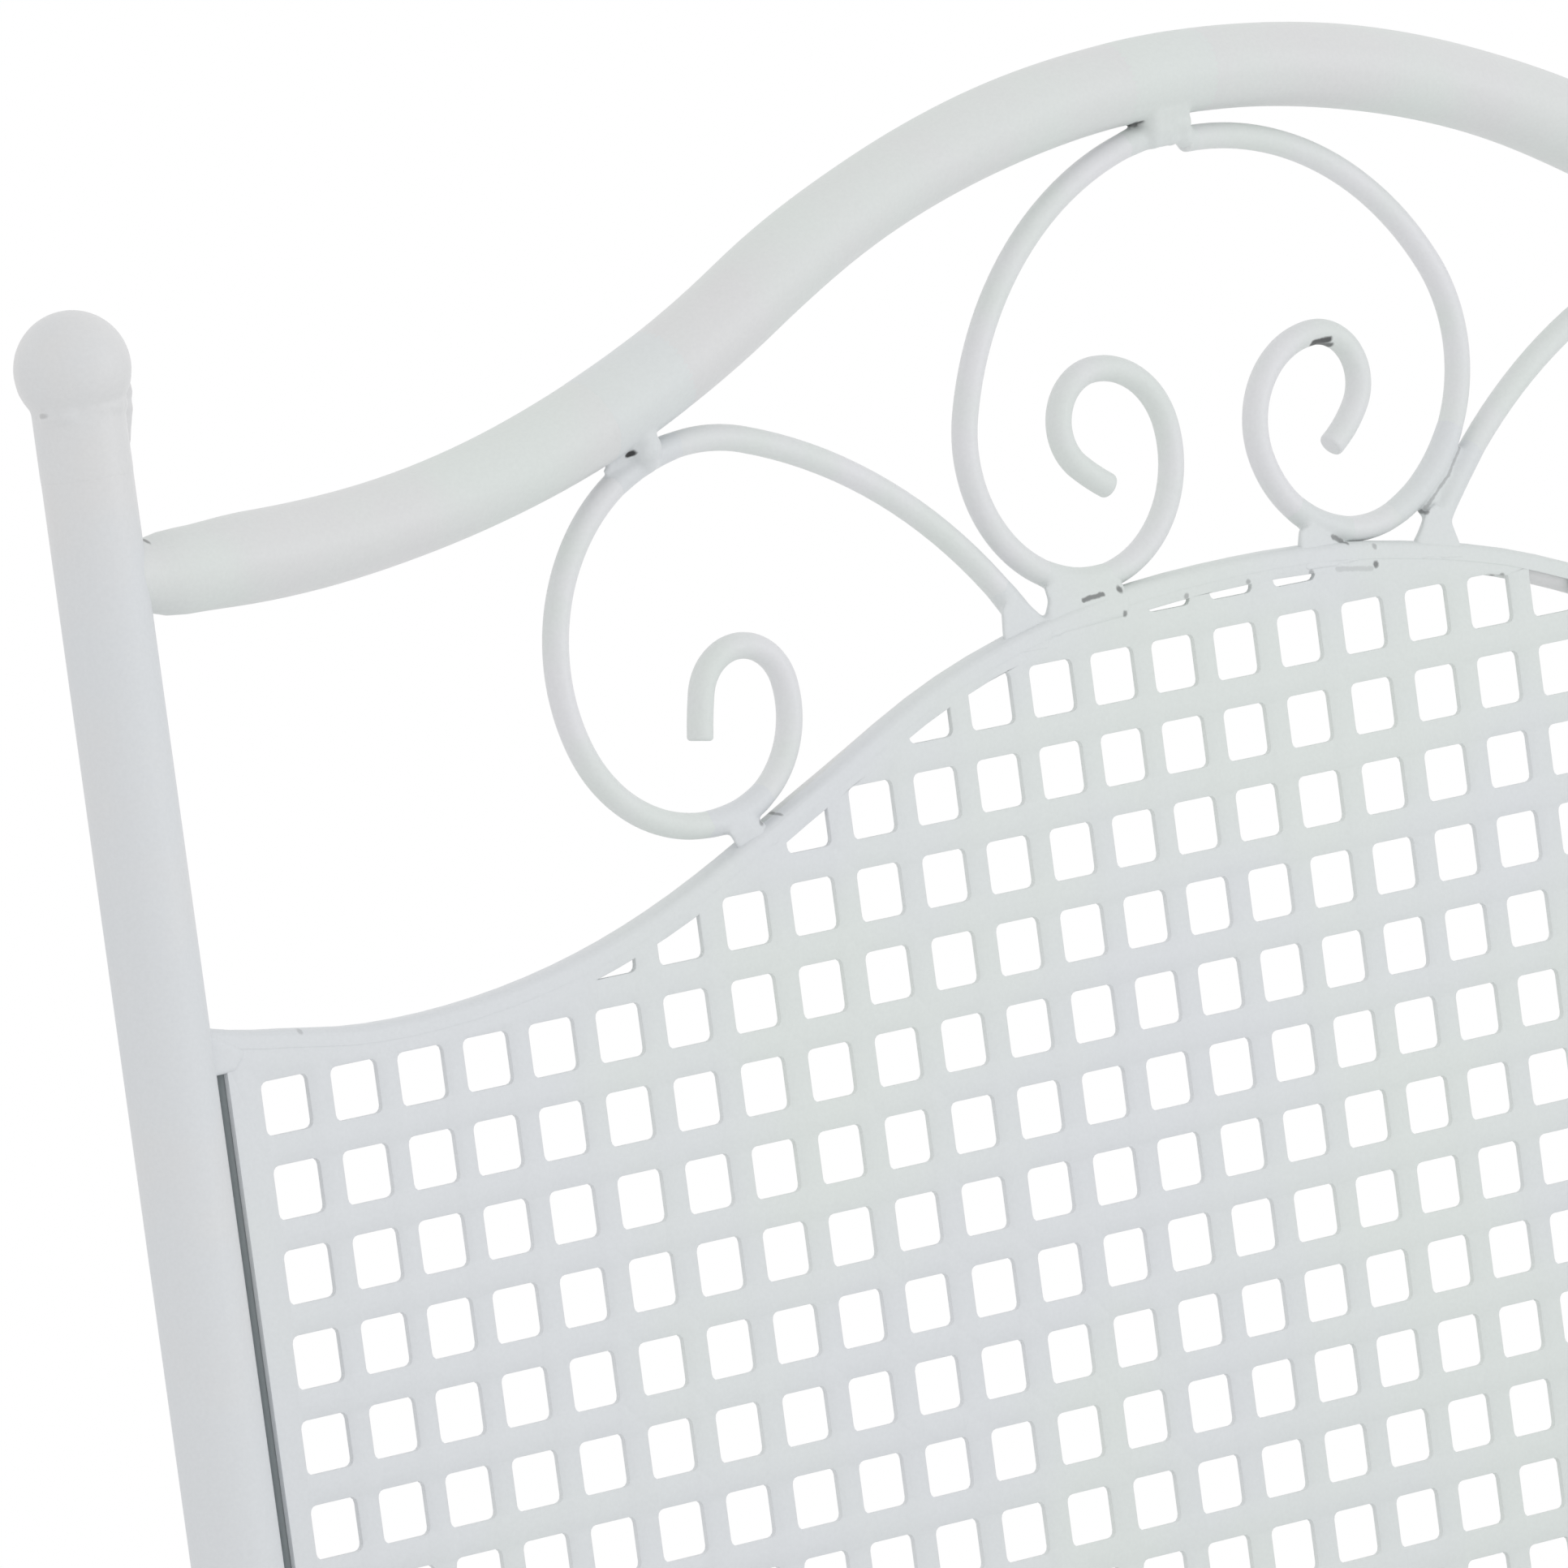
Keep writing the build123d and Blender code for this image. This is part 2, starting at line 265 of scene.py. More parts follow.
def remap(tree, value, low, high, to_low, to_high, smooth=False):
    """A value taken from one range to another and kept within it."""
    settings = {"interpolation_type": "SMOOTHSTEP" if smooth else "LINEAR"}
    sockets = {"From_Min": low, "From_Max": high, "To_Min": to_low, "To_Max": to_high}
    return add_node(tree, "ShaderNodeMapRange", settings, Value=value, **sockets).outputs["Result"]


def mix_colors(tree, share, first, second):
    """Node that mixes two colours; sockets 6 and 7 are its colour inputs."""
    node = add_node(tree, "ShaderNodeMix", {"data_type": "RGBA"}, Factor=share, i6=first, i7=second)
    return node.outputs[2]


noise_low, noise_high = 0.3, 0.7
drift_low, drift_high = 0.36, 0.64
paint_grain, grain_dark, grain_light = 1500.0, 0.985, 1.015
satin, dull = 0.40, 0.52
ripple_scale = 420.0


def uneven_paint():
    """Group that puts out the drifting colour, the roughness and the height of brushed paint."""
    inputs = [
        ("Tint", "NodeSocketColor", (0.7, 0.7, 0.7, 1)),
        ("Second Tint", "NodeSocketColor", (0.7, 0.7, 0.7, 1)),
        ("Patches", "NodeSocketFloat", 26.0),
        ("Lean", "NodeSocketFloat", 0.0),
    ]
    outputs = [("Color", "NodeSocketColor"), ("Roughness", "NodeSocketFloat"), ("Height", "NodeSocketFloat")]
    tree, start, end = new_group("uneven paint", inputs, outputs)
    place = coordinates(tree)
    x = add_node(tree, "ShaderNodeSeparateXYZ", i0=place).outputs["X"]
    patches = noise_at(tree, place, start.outputs["Patches"], 3.0)
    patches = number_math(tree, "MULTIPLY_ADD", x, start.outputs["Lean"], patches)
    drift = remap(tree, patches, drift_low, drift_high, 0.0, 1.0, True)
    color = mix_colors(tree, drift, start.outputs["Tint"], start.outputs["Second Tint"])
    grain = noise_at(tree, place, paint_grain)
    grain = remap(tree, grain, noise_low, noise_high, grain_dark, grain_light)
    tree.links.new(vector_math(tree, "SCALE", color, Scale=grain), end.inputs["Color"])
    tree.links.new(remap(tree, drift, 0.0, 1.0, satin, dull), end.inputs["Roughness"])
    tree.links.new(noise_at(tree, place, ripple_scale, 1.0), end.inputs["Height"])
    return tree


paint_group = uneven_paint()
print("group:", paint_group.name, "with", len(paint_group.nodes), "nodes")

# %% [markdown]
# ## Bare spots and painted shade
# At the welds, at the corners of a few holes and on one curl there are small soft dark marks, black in some
# and only a grey shade in others. Some are bare steel where the paint has missed a spot, and the others are
# painted shade, for the shadow in the voids and crevices where sheet, wire and weld meet. They all lie on
# the front of the back, so they are listed flat, streaks from one point to another and dots at one, each
# with how wide and how dark it is. One node group finds how near a place is to each of them, with a little
# noise so that no mark has a clean edge, and puts out a mask, which the materials of the back mix in.

# %% A node group for the marks
streaks = (
    ((-134.0, 100.8), (-133.4, 101.0), 0.60, 1.0), ((-10.4, 143.2), (-9.3, 143.3), 0.50, 0.8),
    ((-37.2, 59.6), (-32.9, 60.0), 0.50, 0.7), ((21.9, 56.1), (29.9, 55.0), 0.50, 0.18),
    ((23.0, 61.9), (25.5, 60.6), 0.60, 0.6), ((46.3, 63.6), (52.3, 68.7), 0.35, 0.35),
    ((52.3, 68.7), (57.0, 74.2), 0.35, 0.35), ((24.8, 97.8), (28.4, 98.0), 0.70, 0.9),
    ((26.6, 97.2), (29.2, 96.7), 0.60, 0.8),
)
dots = (
    ((-111.4, 32.5), 0.50, 0.5), ((-115.5, 31.4), 0.60, 0.5), ((-238.8, 101.5), 0.60, 0.6),
    ((-28.7, 60.2), 0.75, 0.7), ((-28.7, 55.7), 0.65, 0.6), ((-14.0, 56.7), 0.60, 0.4),
    ((0.7, 57.0), 0.60, 0.4), ((15.7, 56.3), 0.70, 0.4), ((31.3, 58.9), 0.60, 0.35),
    ((31.0, 55.6), 0.70, 0.7), ((45.7, 63.2), 0.50, 0.6), ((60.6, 48.9), 0.60, 0.5),
    ((-256.3, 126.0), 0.50, 0.25), ((-221.3, 12.0), 0.60, 0.25),
)
marks = streaks + tuple((place, place, radius, dark) for place, radius, dark in dots)
mark_core, mark_edge = 0.5, 1.3
mark_wobble = 0.6 * MM
front_from, front_whole = -1.5 * MM, -0.5 * MM


def near_run(tree, place, start, end):
    """Distance from a place to the straight run between two points."""
    run = end - start
    gap = vector_math(tree, "SUBTRACT", place, start)
    if not run.length:
        return vector_math(tree, "LENGTH", gap)
    share = vector_math(tree, "DOT_PRODUCT", gap, run / run.length_squared)
    share = remap(tree, share, 0.0, 1.0, 0.0, 1.0)
    return vector_math(tree, "DISTANCE", gap, vector_math(tree, "SCALE", run, Scale=share))


def bare_and_shaded_spots():
    """Group whose mask says how dark a place on the front of the back is."""
    tree, _, end = new_group("bare and shaded spots", [], [("Mask", "NodeSocketFloat")])
    place = coordinates(tree)
    gap = vector_math(tree, "SUBTRACT", place, row_zero)
    x, v, n = [vector_math(tree, "DOT_PRODUCT", gap, way) for way in (across, up_back, to_sitter)]
    flat = add_node(tree, "ShaderNodeCombineXYZ", X=x, Y=v).outputs[0]
    stir = add_node(tree, "ShaderNodeTexNoise", Vector=flat, Scale=900.0, Detail=3.0).outputs["Color"]
    stir = vector_math(tree, "SUBTRACT", stir, (0.5, 0.5, 0.5))
    stirred = vector_math(tree, "ADD", flat, vector_math(tree, "SCALE", stir, Scale=mark_wobble))
    darkest = None
    for first, last, radius, dark in marks:
        ends = [Vector((*spot, 0)) * MM for spot in (first, last)]
        away = near_run(tree, stirred, *ends)
        spot = remap(tree, away, mark_core * radius * MM, mark_edge * radius * MM, dark, 0.0, True)
        darkest = number_math(tree, "MAXIMUM", darkest, spot) if darkest else spot
    front = remap(tree, n, front_from, front_whole, 0.0, 1.0)
    tree.links.new(number_math(tree, "MULTIPLY", darkest, front), end.inputs["Mask"])
    return tree


spot_group = bare_and_shaded_spots()
print("group:", spot_group.name, "with", len(marks), "marks")

# %% Painted materials
neutral_white = (0.704, 0.706, 0.710, 1)
bluish_white = (0.688, 0.708, 0.728, 1)
greenish_white = (0.700, 0.737, 0.718, 1)
bright_white = (0.735, 0.738, 0.756, 1)
# Near black: bare steel at missed spots, and painted shade in the crevices.
bare_steel_and_shade = (0.030, 0.030, 0.032, 1)
ripple_strength, ripple_depth = 0.12, 0.4 * MM


def new_material(name):
    """A material with its node tree and its shader."""
    material = bpy.data.materials.new(name)
    material.use_nodes = True
    print("material:", name)
    return material, material.node_tree, material.node_tree.nodes["Principled BSDF"]


def white_paint(name, tint, second, patches=26.0, spots=True, lean=0.0):
    """White paint over steel, with or without the bare spots and painted shade; lean drifts the tint across
    the chair.
    """
    material, tree, shader = new_material(name)
    tints = {"Tint": tint, "Second_Tint": second, "Patches": patches, "Lean": lean}
    coat = add_node(tree, "ShaderNodeGroup", {"node_tree": paint_group}, **tints)
    color = coat.outputs["Color"]
    # The marks mix in bare steel and painted shade.
    if spots:
        bare_and_shade = add_node(tree, "ShaderNodeGroup", {"node_tree": spot_group})
        color = mix_colors(tree, bare_and_shade.outputs["Mask"], color, bare_steel_and_shade)
    ripple = {"Strength": ripple_strength, "Distance": ripple_depth, "Height": coat.outputs["Height"]}
    bump = add_node(tree, "ShaderNodeBump", **ripple)
    tree.links.new(color, shader.inputs["Base Color"])
    tree.links.new(coat.outputs["Roughness"], shader.inputs["Roughness"])
    tree.links.new(bump.outputs["Normal"], shader.inputs["Normal"])
    return material


# %% [markdown]
# ## Finishing a piece
# Every piece ends the same way: its faces get one outward side, its mesh becomes an object that is smooth
# except at sharp edges, it gets its material, it is hung on the chair's root so that it moves with the
# chair, and the solids that it stands for are hidden.


# %% From mesh to dressed piece
def new_object(name, data):
    """Object that holds some data, put into the scene."""
    made = bpy.data.objects.new(name, data)
    bpy.context.scene.collection.objects.link(made)
    return made


def mesh_object(name, mesh):
    """Object from a mesh that was being built."""
    data = bpy.data.meshes.new(name)
    mesh.to_mesh(data)
    mesh.free()
    return new_object(name, data)


def finish_piece(name, mesh, material, *nodes, slot="white_paint", sharp=38.0):
    """Object from a mesh, painted, riding on the chair, with the nodes that it stands for hidden."""
    bmesh.ops.recalc_face_normals(mesh, faces=mesh.faces)
    piece = mesh_object(name, mesh)
    data = piece.data
    data.shade_smooth()
    data.set_sharp_from_angle(angle=radians(sharp))
    data.materials.append(material)
    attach(piece, "root")
    if nodes:
        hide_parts(*nodes)
    print(name + ":", len(data.vertices), "points", len(data.polygons), "faces")


# %% [markdown]
# ## Posts
# Each post is one tube that rises from the floor as a rear leg, turns at a knee under the seat and leans
# back as the side of the chair's back. A plain swept bar does it, since the tube keeps its section through
# so wide a bend.

# %% Two posts
tube_r = 8.0 * MM
paint_t = 0.08 * MM
post_x = (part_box("back_post_right")[0].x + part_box("back_post_right")[1].x) / 2
rear_splay = radians(15.0)
post_bend_r = 60.0 * MM
post_above_row = 127.0
leg_end_z = 4.0 * MM
knee = on_back(0, -row_above_knee)
both_sides = ((-1, "left"), (1, "right"))

tube_paint = white_paint("tube_paint", neutral_white, bluish_white)


def post_path(side):
    """From the floor up through the knee to the finial, for the left (-1) or right (1) post."""
    fall = knee.z - leg_end_z
    foot = Vector((side * post_x, knee.y + fall * tan(rear_splay), leg_end_z))
    corner = Vector((side * post_x, knee.y, knee.z))
    top = on_back(side * post_x / MM, post_above_row)
    return rounded([foot, corner, top], post_bend_r)


for side, word in both_sides:
    mesh = bmesh.new()
    bar(mesh, post_path(side), tube_r + paint_t)
    finish_piece(f"post_{word}", mesh, tube_paint, f"back_post_{word}")

# %% [markdown]
# ## Top rail
# The rail is a length of the same tube, bent to a crown in the middle and hollow shoulders at the sides.
# Bending has made it slimmer at the crown and in the hollows and a little fuller between them, and the
# welder has squeezed its ends from above to fit the posts. So the rail's radius is given at a few stations
# from the middle to a post, and near the posts its axis sinks as well.

# %% One bent rail between the posts
rail_crown, rail_crown_r, rail_foot_r, rail_bend = 151.3, 206.5, 227.0, 29.5
rail_radii = (
    (0.0, 7.68), (14.0, 7.70), (45.0, 7.85), (70.0, 7.78), (99.0, 8.18), (133.0, 8.10), (178.0, 7.76),
    (216.0, 8.12), (230.0, 7.64), (234.5, 7.35), (238.0, 6.55),
)
rail_pinch, pinch_run = 1.1, 24.0
rail_step = 0.9
end_inset = 6.0
end_x = post_x / MM - end_inset
saddle_sink = 0.3 * MM


def pinch(x):
    """1 where the rail meets a post, eased to 0 further in."""
    gap = max(0.0, (post_x - tube_r) / MM - abs(x))
    return (1 + cos(pi * min(1.0, gap / pinch_run))) / 2


def rail_radius(x):
    """Radius of the rail at x, eased from station to station."""
    for (x0, r0), (x1, r1) in zip(rail_radii, rail_radii[1:]):
        if x0 <= abs(x) <= x1:
            return (r0 + (r1 - r0) * (1 - cos(pi * (abs(x) - x0) / (x1 - x0))) / 2) * MM
    return rail_radii[-1][1] * MM


def post_surface(side):
    """Post tube as (point, axis, radius), its surface taken a little inside the real one."""
    return on_back(side * post_x / MM, 0), up_back, tube_r - saddle_sink


both_posts = (post_surface(-1), post_surface(1))
rail_line = arch(rail_crown, rail_crown_r, rail_foot_r, rail_bend, end_x, rail_step)
rail_path = [on_back(p.x, p.y - rail_pinch * pinch(p.x)) for p in rail_line]
rail_paint = white_paint("rail_paint", neutral_white, greenish_white, 20.0)
mesh = bmesh.new()
bar(mesh, rail_path, [rail_radius(p.x) for p in rail_line], posts=both_posts)
finish_piece("top_rail_tube", mesh, rail_paint, "top_rail")

# %% [markdown]
# ## Finials
# A solid steel ball closes each post. The ball is a plain sphere, and the ragged weld below it comes later
# with the other welds.

# %% Two balls
ball_r = (ball_high.z - ball_low.z) / 2
ball_sink = 0.3

mesh = bmesh.new()
for side in (-1, 1):
    place = Matrix.Translation(on_back(side * post_x / MM, ball_above_row - ball_sink))
    bmesh.ops.create_uvsphere(mesh, u_segments=64, v_segments=40, radius=ball_r, matrix=place)
finish_piece("finial_balls", mesh, tube_paint, "ball_finials")

# %% [markdown]
# ## Rim wires
# Behind the sheet runs a frame of wire: an arch along its top, a rod down each side and one along the
# bottom. The arch was bent by hand, so it leaves the true curve by up to a millimetre and a half, which is
# written as a few shallow bends. The side rods lie well inside the narrow slits between sheet and posts, and
# their side that faces the sitter is painted dark: painted shade for the shadow in the slits.

# %% Four wires round the sheet
rim_r = 2.6 * MM
wire_sides = 28
rim_crown, rim_crown_r, rim_foot_r, rim_bend = 59.4, 229.4, 174.3, 29.3
hand_bends = ((-222.0, 9.0, 0.5), (-96.0, 19.0, -1.55), (-5.0, 18.0, -0.35), (62.0, 15.0, 0.35))
sheet_foot = -142.5
sheet_lap = 1.5
# Dark grey: painted shade for the shadow in the slits beside the posts.
slit_shade_tint = (0.25, 0.28, 0.29, 1)
slit_from, slit_whole = -0.3, 0.1


def by_hand(line):
    """A line of the arch with the shallow bends (place, half width, depth) added."""
    bent = [sum(h * exp(-(((p.x - x) / w) ** 2)) for x, w, h in hand_bends) for p in line]
    return [Vector((p.x, p.y + b)) for p, b in zip(line, bent)]


def shaded_side_paint(name, tint, shade_color):
    """White paint that turns to a painted shade on the side that faces the sitter."""
    material = white_paint(name, tint, tint, 40.0, False)
    tree = material.node_tree
    shader = tree.nodes["Principled BSDF"]
    color = shader.inputs["Base Color"].links[0].from_socket
    normal = coordinates(tree, "Normal")
    facing = vector_math(tree, "DOT_PRODUCT", normal, to_sitter)
    share = remap(tree, facing, slit_from, slit_whole, 0.0, 1.0, True)
    tree.links.new(mix_colors(tree, share, color, shade_color), shader.inputs["Base Color"])
    return material


wire_paint = white_paint("wire_paint", neutral_white, greenish_white, 40.0)
# The side rods' paint, darkened on the sitter's side as painted shade for the slits.
slit_shade_paint = shaded_side_paint("slit_shade_paint", neutral_white, slit_shade_tint)

rim_line = by_hand(arch(rim_crown, rim_crown_r, rim_foot_r, rim_bend, end_x))
mesh = bmesh.new()
bar(mesh, [on_back(p.x, p.y) for p in rim_line], rim_r, sides=wire_sides, posts=both_posts)
finish_piece("rim_wire_top", mesh, wire_paint, "panel_rim_top")

low_rim = sheet_foot + sheet_lap
mesh = bmesh.new()
bar(mesh, [on_back(-end_x, low_rim), on_back(end_x, low_rim)], rim_r, sides=wire_sides, posts=both_posts)
finish_piece("rim_wire_bottom", mesh, wire_paint, "panel_rim_bottom")

for side, word in both_sides:
    rod_x = side * (post_x - tube_r - rim_r) / MM
    mesh = bmesh.new()
    bar(mesh, [on_back(rod_x, low_rim), on_back(rod_x, rim_line[0].y)], rim_r, sides=wire_sides)
    finish_piece(f"rim_wire_{word}", mesh, slit_shade_paint, f"panel_rim_{word}")

# %% [markdown]
# ## Punched sheet
# The back's sheet is punched all over with square holes, and the wire behind its edge closes the holes that
# the arch runs through. A boolean for each hole would be slow. Instead the outline, a band along the arch
# and all the holes are handed to a constrained triangulation, which splits them where they cross and says
# for every triangle which loops it lies in. Kept are those inside the outline that lie in the band or
# outside every hole. They are thickened, and their edges are eased as paint does.

# %% Cut a sheet from loops
sheet_t = 1.2
edge_ease = 0.16
pitch = 15.0
hole = 10.0
hole_rise = 9.65
hole_corner = 1.3


def square_hole(x, y):
    """Loop of a nearly square hole with small round corners."""
    reach_x, reach_y = hole / 2 - hole_corner, hole_rise / 2 - hole_corner
    loop = []
    for turn, (sx, sy) in enumerate(((1, 1), (-1, 1), (-1, -1), (1, -1))):
        loop += arc((x + sx * reach_x, y + sy * reach_y), hole_corner, 90 * turn, 90, 30)
    return loop


def punched_sheet(mesh, outline, bands, holes, place):
    """Solid sheet, whole within the bands; place(x, y, level) puts a flat point into the chair."""
    points, loops = [], []
    for loop in [outline] + bands + holes:
        loops.append(list(range(len(points), len(points) + len(loop))))
        points += loop
    flat, _, faces, _, _, owners = delaunay_2d_cdt(points, [], loops, 0, 1e-6)
    front = [mesh.verts.new(place(p.x, p.y, sheet_t)) for p in flat]
    solid = [0 in own and (len(own) == 1 or 1 <= sorted(own)[1] <= len(bands)) for own in owners]
    kept = [mesh.faces.new([front[k] for k in face]) for face, keep in zip(faces, solid) if keep]
    bmesh.ops.delete(mesh, geom=[v for v in front if not v.link_faces], context="VERTS")
    drop = place(0, 0, 0) - place(0, 0, sheet_t)
    grown = bmesh.ops.extrude_face_region(mesh, geom=kept, use_keep_orig=True)["geom"]
    bmesh.ops.translate(mesh, verts=[g for g in grown if isinstance(g, bmesh.types.BMVert)], vec=drop)
    bmesh.ops.recalc_face_normals(mesh, faces=mesh.faces)
    level = [e for e in mesh.edges if abs((e.verts[1].co - e.verts[0].co).dot(drop)) < 1e-9]
    rims = [e for e in level if e.is_manifold and e.calc_face_angle() > radians(60)]
    bmesh.ops.bevel(mesh, geom=rims, offset=edge_ease * MM, segments=2, profile=0.5, affect="EDGES")


# %% [markdown]
# The rows of holes are straight, but along a row the holes wander sideways by up to two millimetres, as if
# the sheet had been stretched while it was punched. A few broad hills describe how far, and they fade out
# on the side that the photo doesn't show. On the left, weld and paint close the cut holes up to the wire's
# lower side. Further right they stay open, and the wire shows through them.

# %% The sheet of the back
side_slit = 1.5
edge_least = 2.5
sliver = 1.0
rows_across = 10
grid_shift = -2.9
row_drop = 0.15
band_end, bridge = 64.5, 0.8
stretches = (
    (-96.3, 55.9, 36.7, 2.2), (-81.2, -101.5, 28.6, -0.8), (-2.8, 36.3, 23.1, -1.2),
    (-31.8, -64.4, 43.6, 0.8), (39.4, -12.1, 27.6, -0.6), (-144.2, -48.6, 22.0, 1.6),
    (-215.9, -18.3, 30.9, 2.4), (-161.3, -55.2, 42.3, -2.2),
)


def wander(x, v):
    """How far a hole is moved sideways, from the hills (across, up, half width, height)."""
    return sum(h * exp(-((x - a) ** 2 + (v - b) ** 2) / (2 * w * w)) for a, b, w, h in stretches)


def rim_height(x):
    """Height of the top wire's axis at x, or at its end for an x beyond it."""
    x = min(max(x, rim_line[0].x), rim_line[-1].x)
    for first, last in zip(rim_line, rim_line[1:]):
        if first.x <= x <= last.x:
            return first.y + (last.y - first.y) * (x - first.x) / (last.x - first.x)


panel_x = (post_x - tube_r) / MM - side_slit
top_arch = arch(rim_crown + sheet_lap, rim_crown_r + sheet_lap, rim_foot_r - sheet_lap, rim_bend, panel_x)
top_edge = by_hand(top_arch)
outline = top_edge[::-1] + [Vector((-panel_x, sheet_foot)), Vector((panel_x, sheet_foot))]
under_rim = [Vector((p.x, p.y + (bridge if p.x > band_end else -rim_r / MM))) for p in rim_line]
band = under_rim + [Vector((p.x, p.y + 2 * pitch)) for p in rim_line[::-1]]

columns = int((panel_x - edge_least - hole / 2 - abs(grid_shift)) / pitch)
rows_above = ceil(rim_crown / pitch)
holes = []
for row in range(-rows_above, rows_across):
    for column in range(-columns, columns + 1):
        x, v = column * pitch + grid_shift, -row * pitch
        clear = max(rim_height(x - hole / 2), rim_height(x + hole / 2)) - rim_r / MM
        if v - hole / 2 + sliver < clear:
            holes.append(square_hole(x + wander(x, v), v - row_drop))

# The lean turns the sheet's tint from bluish on the left to greenish on the right: a painted light tint.
sheet_paint = white_paint("sheet_paint", bluish_white, greenish_white, 14.0, lean=0.5)
mesh = bmesh.new()
punched_sheet(mesh, outline, [band], holes, lambda x, v, level: on_back(x, v, rim_r / MM + level))
finish_piece("back_sheet", mesh, sheet_paint, "back_panel")
print("holes:", len(holes))

# %% [markdown]
# ## The filled edge
# Seen close, the sheet doesn't end in a sharp step on the wire. Weld and thick paint fill the corner, and
# the two look like one rounded edge. Only beside the left scroll the fill is thin, and the wire stands out
# as a fine line. A section of the fill, drawn as (outwards, towards the sitter) from the wire's axis, is
# swept along the arch from post to post.

# %% Sweep the fill along the arch
fill_section = (
    (-0.6, 3.86), (1.3, 3.86), (1.9, 3.66), (2.35, 3.2), (2.62, 2.5), (2.72, 1.4),
    (2.7, 0.0), (1.6, -0.4), (0.6, 1.6), (-0.6, 3.2),
)
thin_from, thin_to, thin_fade = -113.0, -95.0, 6.0
thin_share = 0.88


def fill_width(x):
    """Share of the section's width at x."""
    outside = max(thin_from - x, x - thin_to, 0.0)
    return thin_share + (1 - thin_share) * min(1.0, outside / thin_fade)


mesh = bmesh.new()
loops = []
for before, place, after in zip(rim_line[:1] + rim_line, rim_line, rim_line[1:] + rim_line[-1:]):
    along = (after - before).normalized()
    share = fill_width(place.x)
    outs = [(out * share if out > 0 else out, n) for out, n in fill_section]
    loops.append([on_back(place.x - along.y * out, place.y + along.x * out, n) for out, n in outs])
skin(mesh, loops)
finish_piece("rim_fill", mesh, sheet_paint)

# %% [markdown]
# ## Scrolls
# Four lengths of wire are bent by hand into C scrolls, each with a tight curl at its lower end. They are
# alike but not equal, because hand bending never repeats, and two of them meet at the middle of the rail.
# Each is a chain of bends that starts at the inner tip and always turns the same way.

# %% Bend the scrolls
scroll_r = 2.4 * MM
tip_lip = 0.7 * MM
side_tip, side_heading = (-124.56, 48.47), 81.93
side_bends = ((74.65, 5.9), (9.54, 154.3), (18.84, 89.3), (28.13, 79.8), (36.83, 129.0), (106.0, 40.0))
left_tip, left_heading = (-26.0, 79.06), 148.37
left_bends = ((43.49, 9.7), (9.69, 136.9), (14.96, 80.8), (21.65, 119.2), (26.81, 87.3), (62.03, 66.0))
right_tip, right_heading = (-27.42, 78.67), 146.27
right_bends = ((24.24, 21.92), (9.3, 126.9), (16.65, 103.2), (22.2, 97.5), (31.42, 96.6), (60.28, 61.0))
right_inset = 1.4


def mirrored(spots):
    """The mirror image of flat points, or of stations whose first number is across."""
    return [type(spot)((-spot[0], *spot[1:])) for spot in spots]


scroll_lines = {
    "left": follow(side_tip, side_heading, side_bends),
    "right": mirrored(follow((side_tip[0] + right_inset, side_tip[1]), side_heading, side_bends)),
    "middle left": follow(left_tip, left_heading, left_bends),
    "middle right": mirrored(follow(right_tip, right_heading, right_bends)),
}
scroll_paint = white_paint("scroll_paint", bright_white, greenish_white, 40.0)
for name, words, node in (
    ("scroll_wire_left", ["left"], "scroll_left"),
    ("scroll_wire_right", ["right"], "scroll_right"),
    ("scroll_wires_middle", ["middle left", "middle right"], "scroll_center"),
):
    mesh = bmesh.new()
    for word in words:
        bar(mesh, [on_back(*spot) for spot in scroll_lines[word]], scroll_r, sides=wire_sides, lip=tip_lip)
    finish_piece(name, mesh, scroll_paint, node)

# %% [markdown]
# ## Welds on the back
# Where wire meets wire or tube, a welder has filled the corner with metal, and the paint has rounded it
# off. A fill on the rim is drawn flat, as an outline in the plane of the back, and laid over three levels:
# small behind, full in the middle, and in front level with the wire at its top and with the sheet lower
# down. A fill on the rail is a run of small balls, each a little different. Short copies of the wires and
# the rail join them, a voxel remesh melts everything together, and smoothing makes fillets where the shapes
# met. Last, most of the voxels' faces are merged, since smooth forms need far fewer. That is quicker than
# sculpting and keeps each weld a few plain numbers.

# %% Fills and beads, melted together
weld_voxel = 0.3 * MM
weld_easing, weld_rounds = 0.5, 30
weld_faces_kept = 0.4
ball_spacing = 0.8
ball_least, ball_most, ball_stray = 0.9, 1.08, 0.15
weld_dice = random.Random(7)
fill_levels = ((0.70, 2.2), (0.97, 1.3), (0.96, 0.1))
fill_back, fill_middle, on_wire, on_sheet = -1.4, 0.9, 2.7, 4.1


def fill(mesh, outline, hand=1, top=on_wire):
    """Fill over levels (share of the outline, shift to the right), or its mirror image."""
    middle = sum((Vector(spot) for spot in outline), Vector((0, 0))) / len(outline)
    loops = []
    for level, (share, shift) in enumerate(fill_levels):
        flat = [middle + (Vector(spot) - middle) * share for spot in outline]
        front = [on_sheet if p.y < rim_height(p.x) + sheet_lap else top for p in flat]
        heights = ([fill_back] * len(flat), [fill_middle] * len(flat), front)[level]
        loops.append([on_back(hand * (p.x + shift), p.y, n) for p, n in zip(flat, heights)])
    skin(mesh, loops)


def copy_near(mesh, line, spot, reach, radius, swell):
    """A short copy of a bar where its flat line passes a spot, thicker there and thinner at its ends."""
    near = [p for p in line if (p - Vector(spot)).length < reach]
    if len(near) > 1:
        away = [(p - Vector(spot)).length / reach for p in near]
        radii = [radius + swell * (1 - 2 * a**4) for a in away]
        bar(mesh, [on_back(*p) for p in near], radii, sides=wire_sides)


